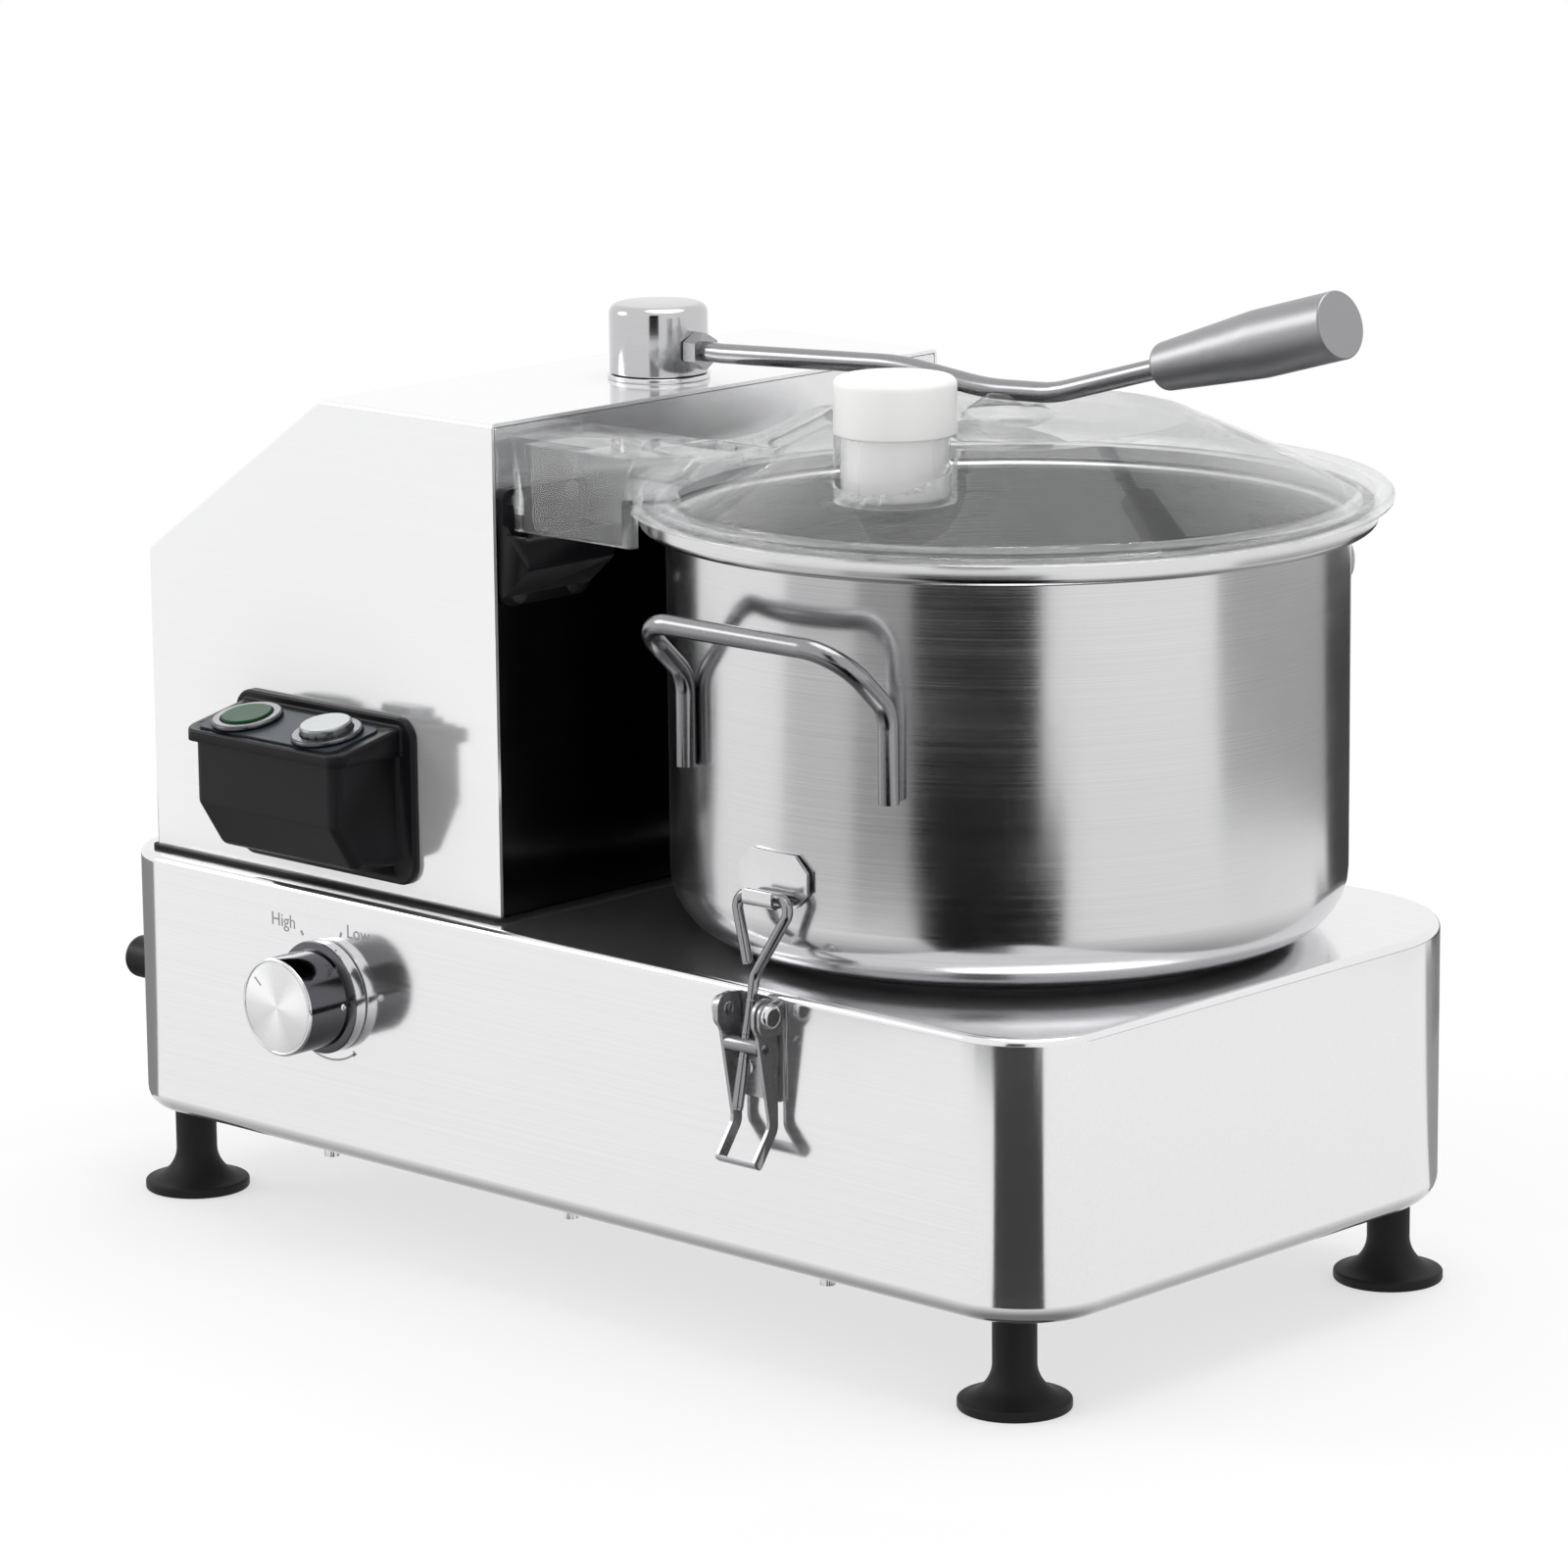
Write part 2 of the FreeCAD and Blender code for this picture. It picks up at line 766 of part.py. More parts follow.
def make_bottom_plate():
    """The plate that closes the base from below and carries the feet."""
    body = start_body("base_bottom_plate")
    sketch = base_plan(new_sketch(body, "XY_Plane"), d.base_bottom_round + d.seam_gap)
    for place_x in (foot_at_tower, foot_at_bowl):
        for y_side in (-1, 1):
            circle(sketch, d.stud_radius + d.seam_gap, place_x, foot_place_y * y_side)
    pad(body, sketch, d.sheet_wall)
    place(body, d.base_x, d.base_y, base_bottom)


def make_feet():
    """Four flared rubber feet, and the studs and nuts that hold them."""
    names = {(1, -1): "front_right", (-1, -1): "front_left", (1, 1): "rear_right", (-1, 1): "rear_left"}
    stud_bottom = base_bottom - d.stud_in_foot
    for (x_side, y_side), name in names.items():
        body = start_body(f"foot_{name}")
        turn_on_lathe(body, [
            (0.0, 0.0),
            (d.foot_radius, 0.0, 1.0),
            (d.foot_radius, d.foot_rim, 1.2),
            (d.foot_neck_radius, d.foot_rim + 2.5, d.foot_flare),
            (d.foot_neck_radius, base_bottom - d.seam_gap),
            (d.stud_radius + d.fit_gap, base_bottom - d.seam_gap),
            (d.stud_radius + d.fit_gap, stud_bottom - d.seam_gap),
            (0.0, stud_bottom - d.seam_gap),
        ])
        x = d.base_x + (foot_at_bowl if x_side > 0 else foot_at_tower)
        y = d.base_y + foot_place_y * y_side
        place(body, x, y, 0.0)
        plate_top = base_bottom + d.sheet_wall
        length = d.stud_in_foot + d.sheet_wall + d.stud_above_plate
        stud = cylinder("stud", d.stud_radius, length, x, y, stud_bottom)
        nut = hexagon("stud_nut", d.nut_corner_radius, d.nut_height, x, y, plate_top)
        housing_fixings.append(fused("stud_with_nut", [stud, nut]))


def make_plate_screws():
    """Screws under the bottom plate, near its long edges."""
    y_place = d.base_width / 2 - d.plate_screw_inset
    spacing = d.base_length * d.plate_screw_share
    for x_step in (-1, 0, 1):
        for y_side in (-1, 1):
            x = d.base_x + d.base_ahead + spacing * x_step
            y = d.base_y + y_place * y_side
            housing_fixings.append(cylinder("head", d.plate_screw_radius, d.plate_screw_height, x, y,
                                            base_bottom - d.plate_screw_height))


def make_gland():
    """The cable gland on the end of the base: collar, dome nut and bore."""
    body = start_body("cable_gland")
    turn_on_lathe(body, [
        (d.gland_bore_radius, -d.sheet_wall - 4.0),
        (d.gland_radius, -d.sheet_wall - 4.0),
        (d.gland_radius, 0.0),
        (d.gland_collar_radius, 0.0, 1.0),
        (d.gland_collar_radius, d.gland_collar_length, 1.5),
        (d.gland_radius, d.gland_collar_length),
        (d.gland_radius, d.gland_length, 3.5),
        (d.gland_bore_radius, d.gland_length),
    ])
    place(body, d.base_x + tower_end, d.base_y - d.gland_place_y,
          base_bottom + d.gland_height, FACE_MINUS_X)


# Tower


def tower_profile(inset):
    """Side outline of the tower, or the same outline drawn in by an inset."""
    rise = d.tower_height - d.tower_shoulder
    run = d.tower_back - d.tower_slope_end
    slope = rise / run
    slant = root(slope * slope + 1.0)
    return [
        (-d.tower_back + inset, 0.0 - inset),
        (-d.tower_front + inset, 0.0 - inset),
        (-d.tower_front + inset, d.tower_height - inset),
        (-d.tower_slope_end + inset * (slant - 1.0) / slope, d.tower_height - inset),
        (-d.tower_back + inset, d.tower_shoulder + inset * (slope - slant)),
    ]


def make_tower():
    """The motor tower: a folded cover, its front panel and the gasket below."""
    outer = helper_body("tower_outer")
    sketch = outline(new_sketch(outer, "XZ_Plane"), tower_profile(as_size(0.0)))
    pad(outer, sketch, d.tower_half_width * 2, both_sides=True)
    front = -d.tower_front.value

    def is_fold(edge):
        return not all_at(edge, "z", 0.0) and not all_at(edge, "x", front)

    round_edges(outer, d.tower_edge_round, is_fold)
    place(outer, d.base_x, d.base_y, tower_bottom)
    room = helper_body("tower_room")
    sketch = outline(new_sketch(room, "XZ_Plane"), tower_profile(d.sheet_wall))
    pad(room, sketch, (d.tower_half_width - d.sheet_wall) * 2, both_sides=True)
    place(room, d.base_x, d.base_y, tower_bottom)
    keep(cut("tower_housing", outer, room), "tower_housing")

    panel = start_body("tower_front_panel")
    half_width = d.tower_half_width - d.sheet_wall - d.seam_gap
    sketch = new_sketch(panel, "YZ_Plane")
    height = d.tower_height - d.sheet_wall - d.seam_gap
    outline(sketch, [(-half_width, 0.0), (half_width, 0.0), (half_width, height, 1.0), (-half_width, height, 1.0)])
    pad(panel, sketch, d.sheet_wall, downwards=True)
    place(panel, tower_face_x, d.base_y, tower_bottom)

    gasket = start_body("tower_gasket")
    sketch = new_sketch(gasket, "XY_Plane")
    reach = d.gasket_reach
    rectangle(sketch, -d.tower_back - reach, -d.tower_front + reach,
              -d.tower_half_width - reach, d.tower_half_width + reach, d.gasket_corner)
    inner = d.gasket_width - reach
    rectangle(sketch, -d.tower_back + inner, -d.tower_front - inner,
              -d.tower_half_width + inner, d.tower_half_width - inner)
    pad(gasket, sketch, d.gasket_thickness)
    place(gasket, d.base_x, d.base_y, deck)


# Controls

box_x = d.base_x - d.box_place_x
panel_rise = sine(d.panel_tilt) / cosine(d.panel_tilt)
PANEL_TURN = FreeCAD.Rotation(X_DIRECTION, d.panel_tilt.value)
# Middle of the sloping top, out from the tower's side, and its level.
panel_middle_out = d.box_flange_thickness + d.panel_inset + d.panel_depth / 2
panel_middle_z = tower_bottom + d.box_top - panel_rise * (panel_middle_out - d.box_flange_thickness)


def make_control_box():
    """The moulded box for the two buttons, with its flange and sloping top."""
    body = start_body("control_box")
    flange = new_sketch(body, "XZ_Plane")
    half_width = d.box_flange_width / 2
    rectangle(flange, -half_width, half_width, d.box_bottom, d.box_bottom + d.box_flange_height,
              d.box_flange_round)
    pad(body, flange, d.box_flange_thickness)
    side = new_sketch(body, "YZ_Plane")
    front = -d.box_depth
    back = -d.box_flange_thickness + 1.0
    front_top = d.box_top - panel_rise * (d.box_depth - d.box_flange_thickness)
    lip_under = front_top - d.box_lip
    chamfer_end = d.box_front_bottom - d.box_chamfer_drop
    outline(side, [
        (back, chamfer_end - d.box_floor_drop),
        (front + d.box_lip_step + d.box_chamfer_back, chamfer_end, 5.0),
        (front + d.box_lip_step, d.box_front_bottom, 5.0),
        (front + d.box_lip_step, lip_under + 1.0),
        (back, lip_under + 1.0),
    ])
    pad(body, side, d.box_width, both_sides=True)
    half_box = d.box_width.value / 2

    def is_box_corner(edge):
        box = edge.BoundBox
        on_end = abs(abs(edge.CenterOfMass.x) - half_box) < 0.01 and box.XLength < 0.01
        return on_end and box.YMax < -d.box_flange_thickness.value - 1 and box.ZMax < lip_under.value + 1.01

    round_edges(body, d.box_edge_round, is_box_corner)
    lip = new_sketch(body, "YZ_Plane")
    outline(lip, [
        (back, lip_under),
        (front, lip_under),
        (front, front_top),
        (back, d.box_top + panel_rise),
    ])
    pad(body, lip, d.box_lip_width, both_sides=True)
    half_lip = d.box_lip_width.value / 2

    def is_lip_corner(edge):
        on_end = abs(abs(edge.CenterOfMass.x) - half_lip) < 0.01
        return on_end and abs(edge.CenterOfMass.y - front.value) < 0.01 and edge.BoundBox.ZLength > 1.0

    round_edges(body, d.box_lip_round, is_lip_corner)
    front_edge = lip_under.value - 0.01

    def is_lip_rim(edge):
        box = edge.BoundBox
        tilted = abs(edge.CenterOfMass.z - lip_under.value) > 0.5
        return box.ZMin > front_edge and box.YMax < back.value - 0.5 and tilted and box.ZMax > front_top.value - 0.01

    round_edges(body, d.box_lip_rim_round, is_lip_rim)
    place(body, box_x, tower_side_y, tower_bottom)
    return body


def on_panel(thing, along, turn=PANEL_TURN):
    """Places an object on the sloping panel, at a distance along it in X."""
    lift = d.panel_thickness
    y = tower_side_y - panel_middle_out - sine(d.panel_tilt) * lift
    z = panel_middle_z + cosine(d.panel_tilt) * lift
    place(thing, box_x + along, y, z, turn)


def make_panel_and_buttons():
    """The inset panel, the two bezels with their barrels, and the two buttons."""
    holes = []
    for side in (-1, 1):
        hole = cylinder("hole", d.barrel_radius + d.button_gap, d.barrel_depth * 2, 0.0, 0.0, 0.0)
        on_panel(hole, d.button_spacing / 2 * side)
        tie(hole, "Placement.Base.z", panel_middle_z - d.barrel_depth * cosine(d.panel_tilt) - d.button_gap)
        tie(hole, "Placement.Base.y",
            tower_side_y - panel_middle_out + d.barrel_depth * sine(d.panel_tilt))
        holes.append(hole)

    panel = start_body("control_panel")
    sketch = new_sketch(panel, "XY_Plane")
    half_width = d.panel_width / 2
    half_depth = d.panel_depth / 2
    rectangle(sketch, -half_width, half_width, -half_depth, half_depth, 4.0)
    for side in (-1, 1):
        circle(sketch, d.barrel_radius + d.button_gap, d.button_spacing / 2 * side)
    pad(panel, sketch, d.panel_thickness, downwards=True)
    on_panel(panel, 0.0)

    for name, side, rise in (("start", -1, d.start_button_rise), ("stop", 1, d.stop_button_rise)):
        bezel = start_body(f"{name}_button_bezel")
        opening = d.button_radius + d.button_gap
        turn_on_lathe(bezel, [
            (0.0, -d.barrel_depth),
            (d.barrel_radius, -d.barrel_depth),
            (d.barrel_radius, 0.0),
            (d.bezel_radius, 0.0),
            (d.bezel_radius, d.bezel_height, 1.2),
            (opening, d.bezel_height, 0.4),
            (opening, 1.5 - d.barrel_depth),
            (0.0, 1.5 - d.barrel_depth),
        ])
        on_panel(bezel, d.button_spacing / 2 * side)
        button = start_body(f"{name}_button")
        top = rise
        turn_on_lathe(button, [
            (0.0, -d.button_skirt),
            (d.button_radius, -d.button_skirt),
            (d.button_radius, top, 1.0),
            (0.0, top),
        ])
        on_panel(button, d.button_spacing / 2 * side)
    return holes


def make_knob():
    """The speed knob with its ring and shaft, and the control behind the wall."""
    body = start_body("speed_knob")
    gap = d.knob_wall_gap
    turn_on_lathe(body, [
        (d.knob_shaft_radius + d.fit_gap, gap),
        (d.knob_ring_radius, gap, 0.6),
        (d.knob_ring_radius, d.knob_ring_thickness, 0.6),
        (d.knob_radius, d.knob_ring_thickness + 0.8),
        (d.knob_radius, d.knob_length, d.knob_face_round),
        (0.0, d.knob_length),
        (0.0, d.knob_shaft_reach + d.seam_gap),
        (d.knob_shaft_radius + d.fit_gap, d.knob_shaft_reach + d.seam_gap),
    ])
    x = d.base_x - d.knob_place_x
    z = base_bottom + d.knob_height
    place(body, x, side_y, z, FACE_MINUS_Y)
    screw_hole = new_sketch(body, "YZ_Plane", d.knob_radius)
    circle(screw_hole, 1.6, 0.0, d.knob_ring_thickness + 4.0)
    pocket(body, screw_hole, 3.0)

    shaft = start_body("knob_shaft")
    turn_on_lathe(shaft, [
        (0.0, -d.sheet_wall - 4.0),
        (d.knob_shaft_radius, -d.sheet_wall - 4.0),
        (d.knob_shaft_radius, d.knob_shaft_reach),
        (0.0, d.knob_shaft_reach),
    ])
    place(shaft, x, side_y, z, FACE_MINUS_Y)

    control = start_body("speed_control")
    bore = d.knob_shaft_radius + d.fit_gap
    turn_on_lathe(control, [
        (0.0, -d.sheet_wall - d.control_depth),
        (d.control_radius, -d.sheet_wall - d.control_depth, 1.0),
        (d.control_radius, -d.sheet_wall),
        (d.bushing_radius, -d.sheet_wall),
        (d.bushing_radius, 0.0),
        (bore, 0.0),
        (bore, -d.sheet_wall - 4.3),
        (0.0, -d.sheet_wall - 4.3),
    ])
    place(control, x, side_y, z, FACE_MINUS_Y)


# Bowl


def make_bowl():
    """The steel bowl with its stepped collar and the raised tube in its floor."""
    body = start_body("bowl")
    inner = d.bowl_radius - d.bowl_wall
    tube_inner = d.bowl_tube_radius - d.bowl_wall
    collar_inner = collar_radius - d.bowl_wall
    rim = d.bowl_step + d.collar_height
    turn_on_lathe(body, [
        (tube_inner, 0.0),
        (d.bowl_radius, 0.0, d.bowl_bottom_round),
        (d.bowl_radius, d.bowl_step, d.collar_round - d.bowl_wall),
        (collar_radius, d.bowl_step, d.collar_round),
        (collar_radius, rim),
        (collar_inner, rim),
        (collar_inner, d.bowl_step + d.bowl_wall, d.collar_round - d.bowl_wall),
        (inner, d.bowl_step + d.bowl_wall, d.collar_round),
        (inner, d.bowl_wall, d.bowl_bottom_round - d.bowl_wall),
        (d.bowl_tube_radius, d.bowl_wall),
        (d.bowl_tube_radius, d.bowl_tube_height),
        (tube_inner, d.bowl_tube_height),
    ])
    place(body, bowl_x, d.base_y, bowl_bottom)

    ring = start_body("bowl_seat_ring")
    turn_on_lathe(ring, [
        (seat_ring_radius - d.seat_ring_width, 0.0),
        (seat_ring_radius, 0.0),
        (seat_ring_radius, d.bowl_seat),
        (seat_ring_radius - d.seat_ring_width, d.bowl_seat),
    ])
    place(ring, bowl_x, d.base_y, deck)

    seal = start_body("shaft_seal")
    turn_on_lathe(seal, [
        (d.shaft_radius + d.seam_gap, -d.sheet_wall),
        (d.shaft_seal_radius, -d.sheet_wall),
        (d.shaft_seal_radius, d.shaft_seal_height, 1.5),
        (d.shaft_radius + d.seam_gap, d.shaft_seal_height),
    ])
    place(seal, bowl_x, d.base_y, deck)


def make_bowl_handles():
    """Two bent wire handles, welded to the wall at their legs."""
    stand_off = d.bowl_radius + d.handle_wire_radius + d.weld_gap
    half_span = d.handle_half_span.value
    wall_y = -math.sqrt(stand_off.value ** 2 - half_span ** 2)
    bar_y = wall_y - d.handle_reach.value
    low = d.handle_leg_bottom.value
    bend = d.handle_leg_bend.value
    high = d.handle_bar_height.value
    points = [
        FreeCAD.Vector(-half_span, wall_y, low),
        FreeCAD.Vector(-half_span, wall_y, bend),
        FreeCAD.Vector(-half_span, bar_y, high),
        FreeCAD.Vector(half_span, bar_y, high),
        FreeCAD.Vector(half_span, wall_y, bend),
        FreeCAD.Vector(half_span, wall_y, low),
    ]
    leg_round = d.handle_leg_round.value
    bar_round = d.handle_bar_round.value
    radii = [leg_round, bar_round, bar_round, leg_round]
    for name, turn in (("front", UNTURNED), ("rear", HALF_TURN)):
        shape = bent_wire(points, radii, d.handle_wire_radius.value)
        label = f"bowl_handle_{name}"
        keep(computed(label, shape, bowl_x, d.base_y, bowl_bottom, turn), label)


# Latches, drawn at the front of the bowl about its axis, on the deck's level

catch_back = d.bowl_radius + d.weld_gap
catch_front = catch_back + d.catch_thickness
bar_out = catch_front + d.loop_wire_radius + d.tongue_room
pivot_out = d.base_width / 2 + d.pivot_reach
pivot_level = -d.pivot_drop
crossbar_level = pivot_level - d.barrel_drop
crossbar_out = pivot_out + d.barrel_offset
bar_level = crossbar_level + d.loop_bar_height
SIDES = (("front", UNTURNED), ("rear", HALF_TURN))


def make_catch(name, turn):
    """The plate on the bowl's wall, with the tongue that the loop pulls on."""
    body = start_body(f"catch_plate_{name}")
    half_width = d.catch_width / 2
    low = bar_level - d.loop_wire_radius - d.loop_rest_gap - d.catch_thickness
    high = low + d.catch_height
    cut_off = d.catch_cut
    sketch = new_sketch(body, "XZ_Plane", catch_back)
    outline(sketch, [
        (-half_width + cut_off, low), (half_width - cut_off, low), (half_width, low + cut_off),
        (half_width, high - cut_off), (half_width - cut_off, high), (-half_width + cut_off, high),
        (-half_width, high - cut_off), (-half_width, low + cut_off),
    ])
    pad(body, sketch, d.catch_thickness)
    tongue = new_sketch(body, "YZ_Plane")
    inner = bar_out + d.loop_wire_radius + d.tongue_gap
    outer = inner + d.catch_thickness
    top = bar_level + d.tongue_rise
    floor = low + d.catch_thickness
    outline(tongue, [
        (-catch_front + 0.5, low), (-catch_front + 0.5, floor), (-inner, floor, 0.8),
        (-inner, top), (-outer, top), (-outer, low, 3.0),
    ])
    pad(body, tongue, d.tongue_width, both_sides=True)
    place(body, bowl_x, d.base_y, deck, turn)


def make_latch_bracket(name, turn):
    """The screwed bracket on the base, with two ears and their rivets."""
    body = start_body(f"latch_bracket_{name}")
    wall = d.base_width / 2
    ear_inner = d.lever_plate_inner + d.lever_plate_thickness + 0.4
    ear_outer = ear_inner + d.ear_thickness
    top = -d.latch_top_drop
    bottom = top - d.latch_plate_height
    plate = new_sketch(body, "XZ_Plane", wall)
    rectangle(plate, -ear_outer, ear_outer, bottom, top, 2.0)
    pad(body, plate, d.latch_plate_thickness)
    for side in (-1, 1):
        start = ear_inner if side > 0 else -ear_outer
        ear = new_sketch(body, "YZ_Plane", start)
        reach = pivot_out + d.lever_eye_radius - 0.8
        back = wall + d.latch_plate_thickness - 0.5
        outline(ear, [
            (-back, pivot_level - d.ear_below), (-reach, pivot_level - d.ear_below, 5.5),
            (-reach, pivot_level + d.ear_above, 4.5), (-back, pivot_level + d.ear_above),
        ])
        pad(body, ear, d.ear_thickness)
    pins = circle(new_sketch(body, "YZ_Plane"), d.rivet_radius + d.fit_gap, -pivot_out, pivot_level)
    pocket(body, pins, ear_outer * 2 + 2.0, both_sides=True)
    place(body, bowl_x, d.base_y, deck, turn)

    rivets = []
    turn_out = turn.multiply(FACE_PLUS_X)
    y_sign = -1 if name == "front" else 1
    x_sign = -y_sign
    y = d.base_y + pivot_out * y_sign
    z = deck + pivot_level
    for side in (-1, 1):
        head_start = (ear_outer + d.seam_gap / 3) * side
        facing = turn_out if side > 0 else turn.multiply(FACE_MINUS_X)
        rivet = helper_body("rivet")
        shank = ear_outer + d.seam_gap / 3 - d.lever_plate_inner
        turn_on_lathe(rivet, [
            (0.0, -shank),
            (d.rivet_radius, -shank),
            (d.rivet_radius, 0.0),
            (d.rivet_head_radius, 0.0),
            (d.rivet_head_radius, d.rivet_head_height, d.rivet_head_height * 0.9),
            (0.0, d.rivet_head_height),
        ])
        place(rivet, bowl_x + head_start * x_sign, y, z, facing)
        rivets.append(rivet)
    return rivets


tip_length = root(d.lever_tip_reach * d.lever_tip_reach + d.lever_tip_drop * d.lever_tip_drop)
tip_out = d.lever_tip_reach / tip_length
tip_down = d.lever_tip_drop / tip_length


def lever_tip(along, across):
    """A point of the lever's bent tip: out from the bowl's axis and up, from the bend at its front."""
    out = pivot_out - d.lever_bend_in + tip_out * along - tip_down * across
    level = pivot_level - d.lever_bend_drop - tip_down * along - tip_out * across
    return -out, level


def make_lever(name, turn):
    """The lever: two side plates with round eyes, a bent tip with its bridge, and holes for its pins."""
    body = start_body(f"latch_lever_{name}")
    inner = d.lever_plate_inner
    width = (inner + d.lever_plate_thickness) * 2
    eye = d.lever_eye_radius
    eye_round = eye - 0.2
    back_run = (d.lever_bend_in - eye + tip_down * d.lever_tip_width) / tip_out
    pad(body, outline(new_sketch(body, "YZ_Plane"), [
        (-pivot_out + eye, pivot_level + eye, eye_round),
        (-pivot_out - eye, pivot_level + eye, eye_round),
        (-pivot_out - eye, pivot_level - d.lever_neck_drop / 2, 4.0),
        (-pivot_out - d.lever_neck_out, pivot_level - d.lever_neck_drop, 4.0),
        lever_tip(as_size(0.0), as_size(0.0)) + (6.0,),
        lever_tip(tip_length, as_size(0.0)) + (1.5,),
        lever_tip(tip_length, d.lever_tip_width) + (1.5,),
        lever_tip(back_run, d.lever_tip_width) + (8.0,),
    ]), width, both_sides=True)
    room = new_sketch(body, "YZ_Plane")
    room_end = tip_length - d.lever_bridge
    room_reach = d.lever_bend_drop
    room_top = -room_reach * 2
    outline(room, [
        lever_tip(room_end, -room_reach),
        lever_tip(room_end, d.lever_tip_width + room_reach),
        lever_tip(room_top, d.lever_tip_width + room_reach),
        lever_tip(room_top, -room_reach),
    ])
    pocket(body, room, inner * 2, both_sides=True)
    pins = new_sketch(body, "YZ_Plane")
    circle(pins, d.rivet_radius + d.fit_gap, -pivot_out, pivot_level)
    circle(pins, d.crossbar_pin_radius + d.fit_gap, -crossbar_out, crossbar_level)
    pocket(body, pins, width * 2, both_sides=True)
    place(body, bowl_x, d.base_y, deck, turn)


def make_crossbar(name, turn):
    """The barrel that turns in the lever and carries the hook's rod."""
    half = d.lever_plate_inner - 0.2
    reach = d.lever_plate_inner + d.lever_plate_thickness
    body = start_body(f"latch_crossbar_{name}")
    sketch = circle(new_sketch(body, "YZ_Plane"), d.crossbar_radius)
    pad(body, sketch, half * 2, both_sides=True)
    sketch = circle(new_sketch(body, "YZ_Plane"), d.crossbar_pin_radius)
    pad(body, sketch, reach * 2, both_sides=True)
    slope = (bar_out - crossbar_out) / d.loop_bar_height
    hole_half = d.crossbar_radius * 2
    hole = new_sketch(body, "YZ_Plane")
    half_hole = d.loop_wire_radius + d.crossbar_hole_gap
    outline(hole, [
        (slope * hole_half - half_hole, -hole_half),
        (slope * hole_half + half_hole, -hole_half),
        (-slope * hole_half + half_hole, hole_half),
        (-slope * hole_half - half_hole, hole_half),
    ])
    pocket(body, hole, half_hole * 2, both_sides=True)
    y_sign = -1 if name == "front" else 1
    place(body, bowl_x, d.base_y + crossbar_out * y_sign, deck + crossbar_level, turn)


def make_hook(name, turn):
    """The threaded rod whose top is bent into the closed pulling loop."""
    wire = d.loop_wire_radius.value
    lean = (bar_out - crossbar_out).value
    height = d.loop_bar_height.value
    neck = d.loop_neck_height.value
    half_width = d.loop_half_width.value
    tail = d.rod_tail.value

    def at(across, up):
        return FreeCAD.Vector(across, -lean * up / height, up)

    loop_points = [
        at(0, -tail), at(0, neck), at(half_width, height), at(-half_width, height), at(-2 * wire, neck + 4.0),
    ]
    shoulder = d.loop_shoulder_round.value
    shape = bent_wire(loop_points, [shoulder * 2, shoulder, shoulder], wire)
    y_sign = -1 if name == "front" else 1
    label = f"latch_hook_{name}"
    keep(computed(label, shape, bowl_x, d.base_y + crossbar_out * y_sign, deck + crossbar_level, turn), label)


def make_latches():
    """Both draw latches."""
    fixings = []
    for name, turn in SIDES:
        make_catch(name, turn)
        fixings += make_latch_bracket(name, turn)
        make_lever(name, turn)
        make_crossbar(name, turn)
        make_hook(name, turn)
        y_sign = -1 if name == "front" else 1
        facing = FACE_MINUS_Y if name == "front" else FreeCAD.Rotation(X_DIRECTION, -90)
        y = d.base_y + (d.base_width / 2 + d.latch_plate_thickness) * y_sign
        for side in (-1, 1):
            fixings.append(cylinder("latch_screw", 3.0, 1.2, bowl_x + 5.5 * side, y,
                                    deck - d.latch_top_drop - d.latch_plate_height * 0.72, facing))
    keep(grouped("latch_fixings", fixings), "latch_fixings")


# Lid


def neck_outline(inset):
    """Plan of the neck above the rim, from the tower's side to the dome."""
    far_angle = 158.0
    arc = d.neck_arc_radius - inset
    left = -(d.bowl_offset + d.tower_front) + d.neck_gap + inset
    near = -d.neck_near + inset
    far = -d.neck_far - inset
    right = left + d.neck_length - inset * 2
    far_x = -root(arc * arc - far * far)
    return [
        (left, near),
        (right + inset * 0.4, near),
        (-d.neck_end_x, -d.neck_end_y + inset),
        (-d.neck_end_x, 0.0),
        (arc * math.cos(math.radians(far_angle)), arc * math.sin(math.radians(far_angle)), 12.0),
        (-arc, 10.0, 30.0),
        (far_x - 6.0, far * 0.62, 30.0),
        (far_x, far, 8.0),
        (left, far),
    ]


